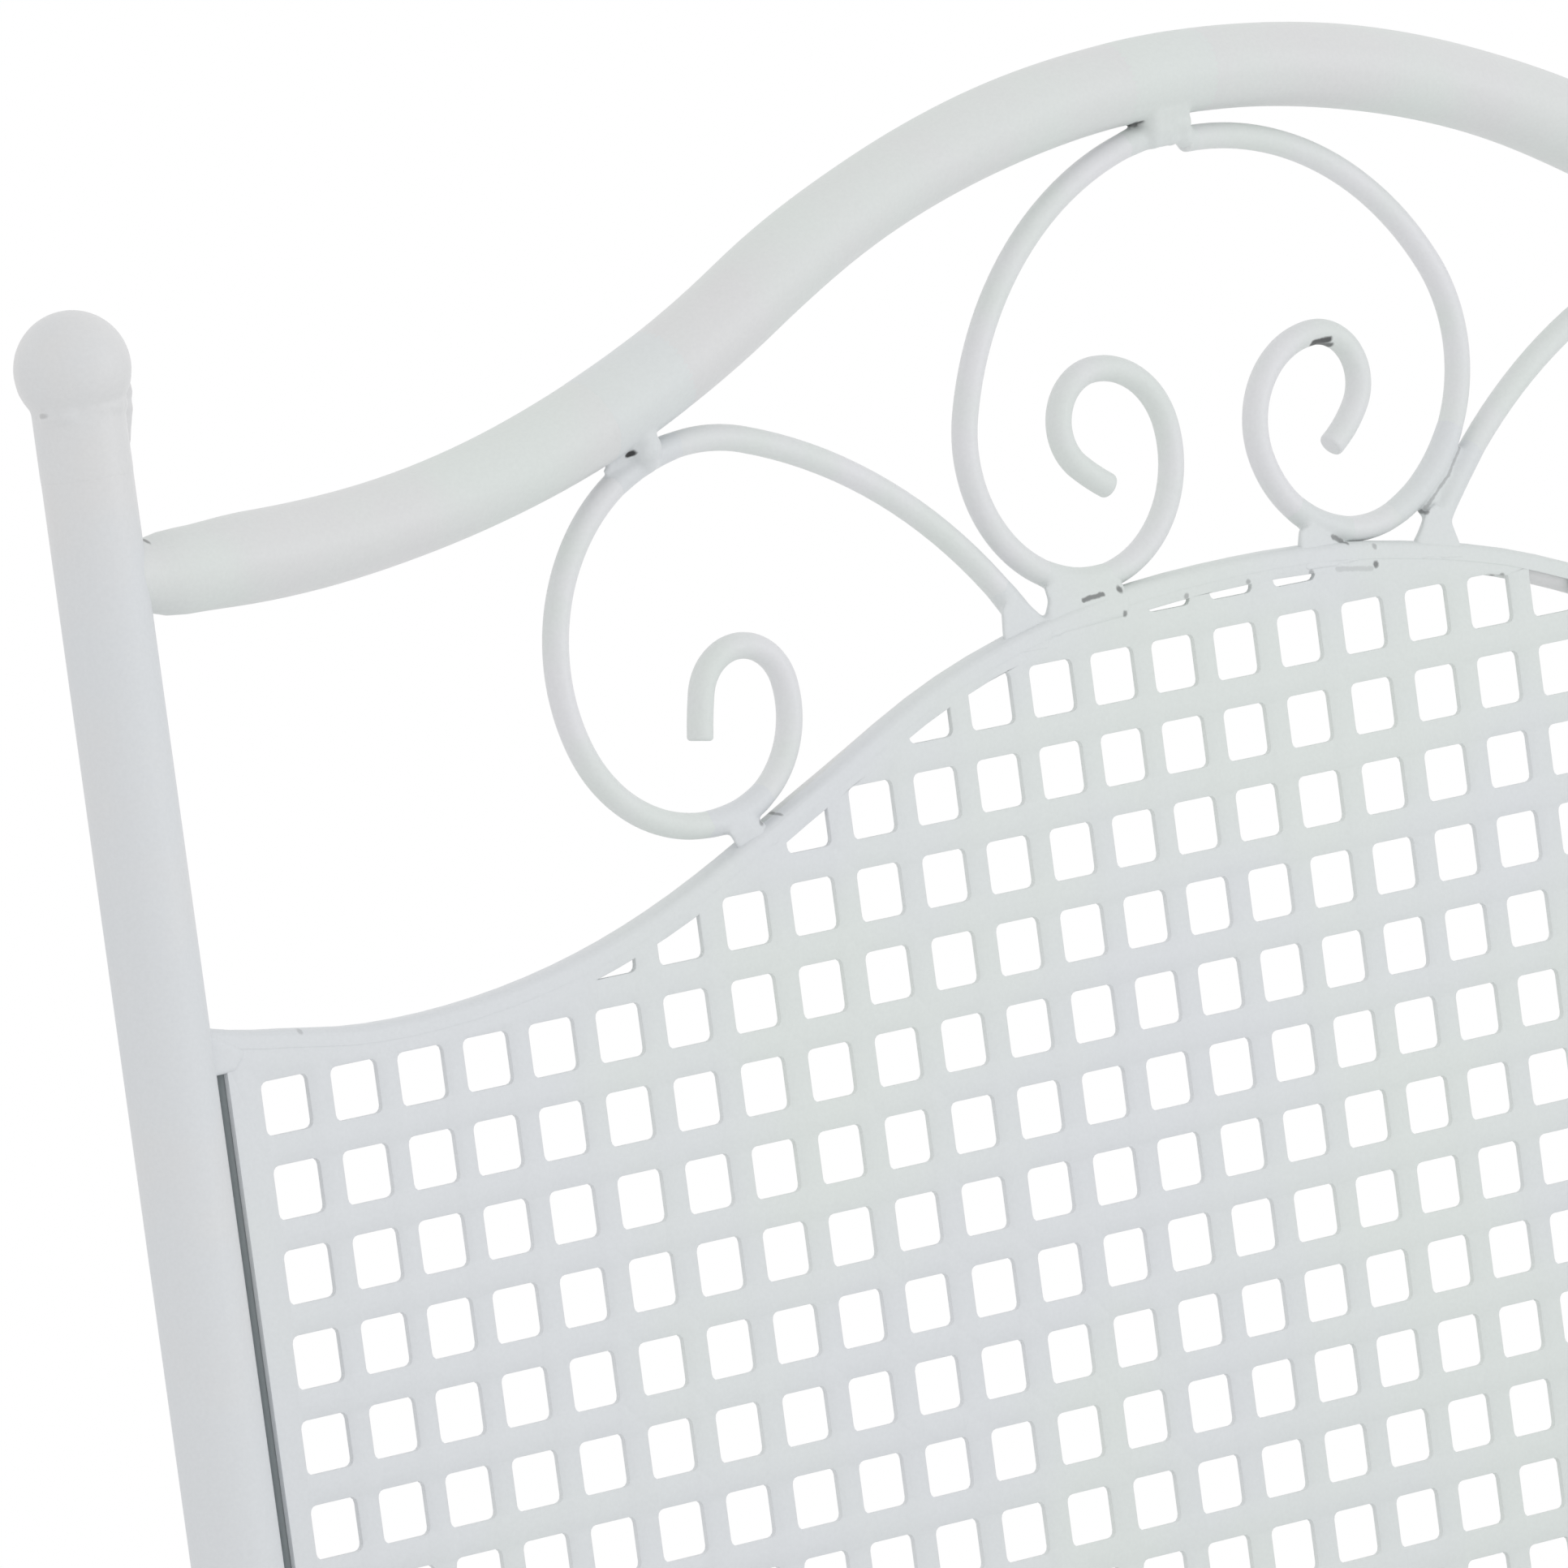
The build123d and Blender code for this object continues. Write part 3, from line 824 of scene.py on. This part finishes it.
def bead(mesh, stations):
    """Balls along a run of stations (across, up, towards the sitter, radius)."""
    for first, last in zip(stations, stations[1:]):
        span = (Vector(last[:3]) - Vector(first[:3])).length
        count = max(1, ceil(span / ball_spacing))
        for k in range(count + 1):
            mixed = [a + (b - a) * k / count for a, b in zip(first, last)]
            radius = mixed[3] * weld_dice.uniform(ball_least, ball_most) * MM
            spot = on_back(*[c + weld_dice.uniform(-ball_stray, ball_stray) for c in mixed[:3]])
            place = Matrix.Translation(spot)
            bmesh.ops.create_icosphere(mesh, subdivisions=2, radius=radius, matrix=place)


def melt(name, mesh, material):
    """One smooth piece from a mesh of overlapping fills and balls."""
    rough = mesh_object(name + "_rough", mesh)
    data = rough.data
    remesh = rough.modifiers.new("melt", "REMESH")
    remesh.mode, remesh.voxel_size = "VOXEL", weld_voxel
    smooth = rough.modifiers.new("round", "SMOOTH")
    smooth.factor, smooth.iterations = weld_easing, weld_rounds
    thin = rough.modifiers.new("thin", "DECIMATE")
    thin.ratio = weld_faces_kept
    melted = bmesh.new()
    graph = bpy.context.evaluated_depsgraph_get()
    melted.from_mesh(rough.evaluated_get(graph).to_mesh())
    rough.evaluated_get(graph).to_mesh_clear()
    bpy.data.objects.remove(rough)
    bpy.data.meshes.remove(data)
    finish_piece(name, melted, material, sharp=180.0)


# %% Weld the scrolls
rim_side = (
    (-122.5, 29.3), (-123.4, 31.1), (-119.9, 32.9), (-116.3, 32.3), (-114.2, 30.6),
    (-112.6, 29.2), (-113.0, 27.2), (-116.4, 26.0), (-121.4, 26.6),
)
foot_left = (
    (-55.9, 60.9), (-54.6, 62.2), (-50.5, 61.8), (-46.4, 57.9), (-45.5, 55.6),
    (-46.9, 51.8), (-55.1, 52.2), (-56.4, 55.2),
)
middle_left = (
    (-46.2, 58.2), (-45.1, 60.4), (-45.7, 63.2), (-42.9, 64.5), (-37.4, 63.1), (-30.9, 62.6),
    (-27.2, 61.2), (-26.8, 58.2), (-27.8, 55.0), (-38.9, 54.3), (-46.6, 53.7),
)
middle_right = (
    (13.8, 60.6), (14.8, 64.5), (17.7, 65.2), (22.0, 62.3), (24.7, 60.5),
    (28.0, 59.0), (28.1, 56.8), (21.0, 56.4), (13.7, 56.8),
)
foot_right = (
    (41.3, 58.1), (43.6, 60.5), (45.1, 63.3), (47.8, 64.6), (50.8, 62.5),
    (51.3, 60.1), (52.3, 56.7), (52.3, 53.2), (40.7, 54.6),
)
rim_end = (
    (-243.5, 13.6), (-240.5, 15.0), (-237.0, 13.0), (-233.8, 11.0),
    (-233.8, 9.8), (-236.4, 7.3), (-241.5, 7.2),
)
rail_bead = ((-130.8, 104.2, 4.0, 2.3), (-130.0, 101.4, 2.7, 3.0), (-129.2, 99.4, 0.9, 2.8))
rail_crease = ((-137.6, 98.6, 0.4, 0.7), (-134.5, 100.3, 1.1, 1.1), (-132.5, 101.0, 1.8, 1.3))
top_bead = ((0.0, 146.0, 3.4, 2.2), (0.4, 143.2, 2.4, 2.3), (0.9, 140.3, 1.2, 2.2))
top_beads_at = (-6.9, -4.9, -2.9, -0.8)
top_end = ((0.4, 141.2, 1.2, 2.1), (1.6, 139.4, 0.7, 2.3))
foot_crease = ((46.7, 63.2, 0.2, 1.2), (51.6, 67.9, 0.3, 1.4), (56.3, 73.0, 0.2, 1.1))
weld_spots = (
    (-130.0, 101.5), (130.0, 101.5), (-118.0, 30.0), (118.0, 30.0), (-51.0, 57.0), (-37.0, 60.0),
    (20.0, 61.0), (47.0, 60.0), (53.0, 70.0), (-4.0, 142.0),
)
rail_spots = ((-130.0, 110.0), (130.0, 110.0), (-4.0, 151.0))
wire_reach, rail_reach = 11.0, 14.0
wire_swell, rail_swell = 0.20 * MM, 0.10 * MM

mesh = bmesh.new()
for hand in (1, -1):
    fill(mesh, rim_side, hand)
    fill(mesh, rim_end, hand, on_sheet)
for outline in (foot_left, middle_left, middle_right, foot_right):
    fill(mesh, outline)
for stations in (rail_bead, rail_crease):
    bead(mesh, stations)
    bead(mesh, mirrored(stations))
for x in top_beads_at:
    bead(mesh, [(x + station[0], *station[1:]) for station in top_bead])
for stations in (top_end, foot_crease):
    bead(mesh, stations)
for spot in weld_spots:
    for line in scroll_lines.values():
        copy_near(mesh, line, spot, wire_reach, scroll_r, wire_swell)
for spot in rail_spots:
    copy_near(mesh, rail_line, spot, rail_reach, rail_radius(spot[0]), rail_swell)

melt("back_welds", mesh, sheet_paint)

# %% [markdown]
# ## Welds of the finials
# Each ball sits on its post in a ragged collar of weld, thickest on the rail's side, where metal has run
# down the post, and with a few drops on the outer side. All of it is runs of small balls again. So that the
# collar blends in, a copy of the ball and the post near their joint is turned from one profile and melted
# together with it. These welds have the paint of the tubes, and no step in tint shows where the copy ends.

# %% Lay the collars
collar_r, collar_v = 7.35, 125.9
collar_ball, collar_more, collar_most_at = 0.8, 0.7, radians(40)
collar_lump = (
    (-238.6, 131.0, 0.0, 1.7), (-238.1, 127.5, 0.0, 2.2),
    (-238.8, 122.5, 0.2, 2.0), (-239.3, 118.0, 0.2, 1.3),
)
drop_r, drop_v, drop_ball = 7.6, 125.5, 1.6
drop_from, drop_to = radians(135), radians(170)


def spread(first, last, count):
    """Evenly spaced values from first to last, in a count of steps."""
    return [first + (last - first) * k / count for k in range(count + 1)]


def round_post(radius, height, turn, ball):
    """Station of a bead round the left post, at a turn from the rail's side towards the sitter."""
    return radius * cos(turn) - post_x / MM, height, radius * sin(turn), ball


turns = spread(0.0, 2 * pi, 24)
balls = [collar_ball + collar_more * max(0.0, cos(t - collar_most_at)) for t in turns]
collar = [round_post(collar_r, collar_v, t, ball) for t, ball in zip(turns, balls)]
drops = [round_post(drop_r, drop_v, t, drop_ball) for t in spread(drop_from, drop_to, 4)]
mesh = bmesh.new()
for stations in (collar, collar_lump, drops):
    bead(mesh, stations)
    bead(mesh, mirrored(stations))
print("collars:", len(mesh.verts), "points before melting")

# %% Melt the collars into ball and post
copy_low, copy_high, copy_swell = 112.0, 131.0, 0.08
low_sink, low_run = 0.4, 2.0
high_sink, high_run = 0.5, 1.0
crease_gap = 0.2
ball_v, ball_size = ball_above_row - ball_sink, ball_r / MM
post_size = (tube_r + paint_t) / MM
joint_v = ball_v - sqrt(ball_size**2 - post_size**2)
ball_heights = spread(joint_v, copy_high, 8)
joint = [(copy_low, post_size - low_sink)]
joint += [(v, post_size + copy_swell) for v in (copy_low + low_run, joint_v - crease_gap)]
joint += [(v, sqrt(ball_size**2 - (v - ball_v) ** 2) + copy_swell) for v in ball_heights]
joint += [(copy_high + high_run, joint[-1][1] - high_sink)]
for side in (-1, 1):
    stations = [(on_back(side * post_x / MM, v), up_back, across, to_sitter) for v, _ in joint]
    skin(mesh, [ring(station, size * MM, 48) for station, (_, size) in zip(stations, joint)])

melt("finial_welds", mesh, tube_paint)

# %% [markdown]
# ## Arms and front legs
# An arm and its front leg are one tube, bent once and cut to sit on the post. The photo stops above them,
# so they follow the solids: the bolt through the leg gives its place and the solid's box its height.

# %% Two arms
front_splay = radians(4.0)
arm_bend_r = 70.0 * MM
bolt_low, bolt_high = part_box("seat_bolts")
bolt_head_r = (bolt_high.z - bolt_low.z) / 2
seat_z = (bolt_high.z + bolt_low.z) / 2
front_bolt_y, rear_bolt_y = bolt_low.y + bolt_head_r, bolt_high.y - bolt_head_r
arm_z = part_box("arm_leg_left")[1].z - tube_r


def leg_y(z):
    """Axis of the front legs at a height."""
    return front_bolt_y + (z - seat_z) * tan(front_splay)


def post_y(z):
    """Axis of the leaning posts at a height."""
    return knee.y + (z - knee.z) * tan(recline)


for side, word in both_sides:
    x = side * post_x
    foot = Vector((x, leg_y(leg_end_z), leg_end_z))
    corner, rear = Vector((x, leg_y(arm_z), arm_z)), Vector((x, post_y(arm_z) - tube_r / 2, arm_z))
    mesh = bmesh.new()
    bar(mesh, rounded([foot, corner, rear], arm_bend_r), tube_r, posts=(None, post_surface(side)))
    finish_piece(f"arm_and_leg_{word}", mesh, tube_paint, f"arm_leg_{word}")

# %% [markdown]
# ## Seat frame and cross tubes
# The seat hangs between the posts and legs on four bolts. Its frame is one tube bent round the front, with
# a tube across the back, two rods under the sheet and, lower down, a stretcher between the rear legs.

# %% Frame, rear rail, rods and stretcher
seat_corner_r = 50.0 * MM
frame_low, frame_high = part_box("seat_frame")
seat_x, seat_front = frame_high.x - tube_r, frame_low.y + tube_r
end_lip = 1.4 * MM

tail = frame_high.y - end_lip
plan = ((-1, tail), (-1, seat_front), (1, seat_front), (1, tail))
corners = [Vector((side * seat_x, y, seat_z)) for side, y in plan]
mesh = bmesh.new()
bar(mesh, rounded(corners, seat_corner_r), tube_r, lip=end_lip)
finish_piece("seat_frame_tube", mesh, tube_paint, "seat_frame")


def cross_bar(name, node, radius, ends, count=1):
    """Straight bars across the chair in the box of a node, each cut to two round tubes."""
    low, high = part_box(node)
    mesh = bmesh.new()
    for k in range(count):
        share = k / (count - 1) if count > 1 else 0.5
        y = low.y + radius + (high.y - low.y - 2 * radius) * share
        z = (low.z + high.z) / 2
        half = high.x - radius
        bar(mesh, [Vector((-half, y, z)), Vector((half, y, z))], radius, posts=ends)
    finish_piece(name, mesh, tube_paint, node)


rear_leg = Vector((0, sin(rear_splay), -cos(rear_splay)))
leg_tubes = [(Vector((s * post_x, knee.y, knee.z)), rear_leg, tube_r - saddle_sink) for s in (-1, 1)]
side_tubes = [(Vector((s * seat_x, 0, seat_z)), Vector((0, 1, 0)), tube_r - saddle_sink) for s in (-1, 1)]
slat_r = (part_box("seat_slats")[1].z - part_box("seat_slats")[0].z) / 2
cross_bar("stretcher_tube", "rear_stretcher", tube_r, leg_tubes)
cross_bar("seat_rear_tube", "seat_rear_rail", tube_r, side_tubes)
cross_bar("seat_rods", "seat_slats", slat_r, side_tubes, 2)

# %% [markdown]
# ## Seat sheet
# The seat isn't in the photo. Such a chair's seat is made from the same punched sheet as its back, so the
# same function cuts it, with whole holes only and a plain margin over the tubes that carry it.

# %% The sheet of the seat
panel_low, panel_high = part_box("seat_panel")
seat_margin = 12.0
half, front, rear = panel_high.x / MM, panel_low.y / MM, panel_high.y / MM
corner_r = seat_corner_r / MM
outline = (
    arc((-half + corner_r, front + corner_r), corner_r, 180, 90)
    + arc((half - corner_r, front + corner_r), corner_r, 270, 90)
    + [Vector((half, rear)), Vector((-half, rear))]
)
columns = int((half - seat_margin - hole / 2) / pitch)
rows = int((rear - front - 2 * seat_margin - hole) / pitch)
middle = (front + rear) / 2


def in_margin(x, y):
    """Whether a hole at x, y keeps the margin, also at the round front corners."""
    cx, cy = max(abs(x) - (half - corner_r), 0.0), max((front + corner_r) - y, 0.0)
    return cx == 0 or cy == 0 or sqrt(cx * cx + cy * cy) + hole / sqrt(2) < corner_r - seat_margin / 2


holes = []
for row in range(rows + 1):
    for column in range(-columns, columns + 1):
        x, y = column * pitch, middle + (row - rows / 2) * pitch
        if in_margin(x, y):
            holes.append(square_hole(x, y))

mesh = bmesh.new()
punched_sheet(mesh, outline, [], holes, lambda x, y, level: Vector((x, y, panel_low.z / MM + level)) * MM)
finish_piece("seat_sheet", mesh, sheet_paint, "seat_panel")
print("holes:", len(holes))

# %% [markdown]
# ## Welds on the frame
# The tubes of the seat and the arms are joined by a bead right round each end. The bead follows the saddle
# line where the two tubes meet, so it is laid along the same line that the ends are cut to.

# %% Beads along saddle lines
seam_size, rod_seam_size = 1.3, 0.9
seam_least, seam_most = 0.85, 1.15


def seam(mesh, point, along, radius, post, size=seam_size):
    """Uneven bead round a bar's end where it meets a tube."""
    foot, axis, surface = post
    whole = (foot, axis, surface + saddle_sink)
    edge = ring(carried_frames([point, point + along])[0], radius, 40)
    line = [saddle(spot, along, whole) for spot in edge]
    loops = []
    for k, spot in enumerate(line):
        way = (line[(k + 1) % len(line)] - line[k - 1]).normalized()
        side = edge[k] - point
        side = (side - way * side.dot(way)).normalized()
        thick = size * weld_dice.uniform(seam_least, seam_most) * MM
        loops.append(ring((spot, way, side, way.cross(side)), thick, 12))
    skin(mesh, loops, closed=True)


mesh = bmesh.new()
for k, side in enumerate((-1, 1)):
    out = Vector((side, 0, 0))
    for node, tubes in (("rear_stretcher", leg_tubes), ("seat_rear_rail", side_tubes)):
        low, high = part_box(node)
        seam(mesh, Vector((0, (low.y + high.y) / 2, (low.z + high.z) / 2)), out, tube_r, tubes[k])
    low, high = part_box("seat_slats")
    for y in (low.y + slat_r, high.y - slat_r):
        seam(mesh, Vector((0, y, (low.z + high.z) / 2)), out, slat_r, side_tubes[k], rod_seam_size)
    seam(mesh, Vector((side * post_x, 0, arm_z)), Vector((0, 1, 0)), tube_r, post_surface(side))
finish_piece("frame_welds", mesh, tube_paint, sharp=180.0)

# %% [markdown]
# ## Bolts, nuts and spacers
# Four bolts go through a post or leg, a plastic spacer and the seat frame, with a nut inside. A bolt is
# turned from one profile: a domed head, a shank and a chamfered end. The nut is a hexagon whose corners
# are turned down, as on a real one.

# %% Zinc and plastic
finish_shade = 0.86
finish_bump, finish_depth = 0.1, 0.3 * MM


def plain_finish(name, color, metallic, low, high, grain_scale):
    """Finish whose roughness and colour vary with one noise."""
    material, tree, shader = new_material(name)
    place = coordinates(tree)
    grain = noise_at(tree, place, grain_scale, 4.0)
    darker = tuple(finish_shade * c for c in color) + (1,)
    tree.links.new(mix_colors(tree, grain, darker, color + (1,)), shader.inputs["Base Color"])
    tree.links.new(remap(tree, grain, noise_low, noise_high, low, high), shader.inputs["Roughness"])
    bump = add_node(tree, "ShaderNodeBump", Strength=finish_bump, Distance=finish_depth, Height=grain)
    tree.links.new(bump.outputs["Normal"], shader.inputs["Normal"])
    shader.inputs["Metallic"].default_value = metallic
    return material


zinc = plain_finish("zinc_plate", (0.62, 0.63, 0.65), 1.0, 0.28, 0.45, 700.0)
cap_plastic = plain_finish("cap_plastic", (0.62, 0.63, 0.63), 0.0, 0.45, 0.6, 900.0)


# %% Turned fasteners
def turned(mesh, profile, place, sides=32):
    """Solid of revolution from (distance along, radius) pairs; place gives origin, axis, side, other."""
    skin(mesh, [ring(place, radius, sides, shift) for shift, radius in profile])


def inward(side, x, y):
    """Station at a bolt, looking from the outside of the chair to its middle."""
    along = Vector((-side, 0, 0))
    return Vector((side * x, y, seat_z)), along, Vector((0, 1, 0)), along.cross(Vector((0, 1, 0)))


def at_bolts(x):
    """Stations at the four bolts, at x from the middle of the chair."""
    return [inward(side, x, y) for side in (-1, 1) for y in (front_bolt_y, rear_bolt_y)]


outside = post_x + tube_r
head_h = bolt_high.x - outside
shank_r = 3.0 * MM
thread_past = 6.5 * MM
thread_end = seat_x - tube_r - thread_past
bevel_run, bevel_depth = 0.8 * MM, 0.7 * MM
head_flat = 0.05 * MM
head_turns = [radians(90 - 15 * k) for k in range(6)]
head = [(-head_h * sin(t), bolt_head_r * cos(t) + head_flat) for t in head_turns]
length = outside - thread_end
shank = [(0.0, bolt_head_r), (0.0, shank_r), (length - bevel_run, shank_r), (length, shank_r - bevel_depth)]

mesh = bmesh.new()
for place in at_bolts(outside):
    turned(mesh, head + shank, place)
finish_piece("domed_bolts", mesh, zinc, "seat_bolts", slot="zinc")

nut_low, nut_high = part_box("seat_nuts")
nut_h = 5.0 * MM
nut_corner = (nut_high.z - nut_low.z) / 2
nut_flat = nut_corner * cos(pi / 6)
nut_crown = 0.8 * MM
nut_turns = [2 * pi * k / 48 for k in range(48)]
nut_reach = [nut_flat / cos(t % (pi / 3) - pi / 6) for t in nut_turns]


def hexagon(place, shift, limit):
    """Loop of a nut at a distance along its axis, with the corners cut back to a limit."""
    point, along, one, other = place
    reach = [min(r, limit) for r in nut_reach]
    return [point + along * shift + (one * sin(t) + other * cos(t)) * r for t, r in zip(nut_turns, reach)]


nut_levels = ((0, nut_corner), (nut_h - nut_crown, nut_corner), (nut_h, nut_flat))
mesh = bmesh.new()
for place in at_bolts(seat_x - tube_r):
    skin(mesh, [hexagon(place, shift, limit) for shift, limit in nut_levels])
finish_piece("hexagon_nuts", mesh, zinc, "seat_nuts", slot="zinc", sharp=25.0)

spacer_low, spacer_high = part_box("seat_spacers")
spacer_r = (spacer_high.z - spacer_low.z) / 2
spacer_t = post_x - tube_r - (seat_x + tube_r)
spacer_ease = 0.4 * MM
spacer_edge = [(0.0, spacer_r - spacer_ease), (spacer_ease, spacer_r)]
spacer_edge += [(spacer_t - shift, radius) for shift, radius in spacer_edge[::-1]]

mesh = bmesh.new()
for place in at_bolts(post_x - tube_r):
    turned(mesh, spacer_edge, place)
finish_piece("plastic_spacers", mesh, cap_plastic, "seat_spacers", slot="cap_plastic")

# %% [markdown]
# ## Foot caps
# Each leg ends in a moulded cap that keeps the steel off the floor. The leg leans, so the cap's side
# follows the leg while its sole lies flat: rings along the leg make the side, and the lowest two are
# slid along it until they are level.

# %% Four caps
cap_r = tube_r + 2.5 * MM
cap_h = 24.0 * MM
sole_ease = 1.0 * MM
cap_mouth = (
    (cap_h - 1.2 * MM, cap_r), (cap_h - 0.3 * MM, cap_r - 0.5 * MM),
    (cap_h, tube_r + 0.6 * MM), (cap_h - 1.0 * MM, tube_r - 0.2 * MM),
)


def level_ring(station, radius, z, sides=48):
    """Ring on a leaning leg, slid along the leg until all of it is at one height."""
    along = station[1]
    return [p + along * ((z - p.z) / along.z) for p in ring(station, radius, sides)]


def cap(mesh, foot, along):
    """Cap on a leg that stands on a foot and leans along a direction."""
    station = carried_frames([foot, foot + along])[0]
    mouth = [ring(station, radius, 48, shift) for shift, radius in cap_mouth]
    sole = [level_ring(station, cap_r - sole_ease, 0.0), level_ring(station, cap_r, sole_ease)]
    skin(mesh, sole + mouth)


caps = (
    ("front_caps", "front_foot_caps", leg_y(0.0), Vector((0, sin(front_splay), cos(front_splay)))),
    ("rear_caps", "rear_foot_caps", knee.y + knee.z * tan(rear_splay), -rear_leg),
)
for name, node, y, along in caps:
    mesh = bmesh.new()
    for side in (-1, 1):
        cap(mesh, Vector((side * post_x, y, 0)), along)
    finish_piece(name, mesh, cap_plastic, node, slot="cap_plastic")

# %% [markdown]
# ## Floor and background
# The background is plain white. Far from the chair the floor is a white that only the camera and mirror
# rays see, and round the feet it is a pale matt floor that keeps the chair's shadow, with a soft change
# between the two. No extra light falls on the chair for it.

# %% Pale floor that fades to white
floor_size = 40.0
shadow_reach, white_from = 0.5, 1.5
pale_floor, floor_roughness = (0.94, 0.94, 0.94, 1), 0.9
pure_white = (1, 1, 1, 1)


def seen_directly(tree):
    """1 for rays from the camera, from mirrors and through glass."""
    path = tree.nodes.new("ShaderNodeLightPath").outputs
    either = number_math(tree, "MAXIMUM", path["Is Camera Ray"], path["Is Glossy Ray"])
    return number_math(tree, "MAXIMUM", either, path["Is Transmission Ray"])


floor_finish, tree, matt = new_material("pale_floor")
matt.inputs["Base Color"].default_value = pale_floor
matt.inputs["Roughness"].default_value = floor_roughness
place = coordinates(tree)
reach = vector_math(tree, "LENGTH", place)
far = remap(tree, reach, shadow_reach, white_from, 0.0, 1.0, True)
share = number_math(tree, "MULTIPLY", far, seen_directly(tree))
white = add_node(tree, "ShaderNodeEmission", Color=pure_white, Strength=1.0)
both = add_node(tree, "ShaderNodeMixShader", Fac=share, i1=matt.outputs[0], i2=white.outputs[0])
tree.links.new(both.outputs[0], tree.nodes["Material Output"].inputs["Surface"])

mesh = bmesh.new()
bmesh.ops.create_grid(mesh, x_segments=1, y_segments=1, size=floor_size / 2)
floor = mesh_object("floor", mesh)
floor.data.materials.append(floor_finish)
print("floor:", floor_size, "m")

# %% [markdown]
# ## Light
# The photo's light is very soft and comes mostly from the front of the chair, so the sheet is a little
# brighter than the sides of the posts. A pale dome gives most of it and one large lamp in front gives the
# rest.

# %% Dome and lamp
dome_strength = 0.922
lamp_power = 14.0
lamp_size = 2.6
lamp_color = (0.92, 0.96, 1.0)
lamp_place = Vector((2.2, -2.6, 1.6))

world = bpy.data.worlds.new("studio")
bpy.context.scene.world = world
world.use_nodes = True
tree = world.node_tree
dome = tree.nodes["Background"]
dome.inputs["Color"].default_value = pure_white
dome.inputs["Strength"].default_value = dome_strength
white = add_node(tree, "ShaderNodeBackground", Color=pure_white, Strength=1.0)
share = seen_directly(tree)
both = add_node(tree, "ShaderNodeMixShader", Fac=share, i1=dome.outputs[0], i2=white.outputs[0])
tree.links.new(both.outputs[0], tree.nodes["World Output"].inputs["Surface"])

lamp_data = bpy.data.lights.new("front_lamp", "AREA")
lamp_data.shape = "DISK"
lamp_data.size = lamp_size
lamp_data.energy = lamp_power
lamp_data.color = lamp_color
lamp = new_object("front_lamp", lamp_data)
lamp.location = lamp_place
lamp.rotation_euler = (on_back(0, 0) - lamp_place).to_track_quat("-Z", "Y").to_euler()
print("dome:", dome_strength, "lamp:", lamp_power, "W")

# %% [markdown]
# ## Camera
# The photo is a long lens look at one corner of the back, from the left and a little above. The camera's
# place was worked out from the grid of holes, which is a ruler in itself, and is written in the plane of
# the back.

# %% Long lens on the corner of the back
camera_place = on_back(-1648.8, 282.1, 2091.7)
camera_aim = on_back(-110.29, 37.62, 3.8)
camera_roll = radians(-0.28)
sensor = 36.0
lens = 333.87

camera_data = bpy.data.cameras.new("camera")
camera_data.sensor_width = sensor
camera_data.lens = lens
camera_data.clip_start, camera_data.clip_end = 0.05, 100.0
camera = new_object("camera", camera_data)
level = (camera_aim - camera_place).to_track_quat("-Z", "Y").to_matrix()
rolled = level @ Matrix.Rotation(camera_roll, 3, "Z")
camera.matrix_world = Matrix.Translation(camera_place) @ rolled.to_4x4()
bpy.context.scene.camera = camera
bpy.context.scene.view_settings.view_transform = "Standard"
print("camera:", [round(c, 3) for c in camera_place], "lens:", lens)
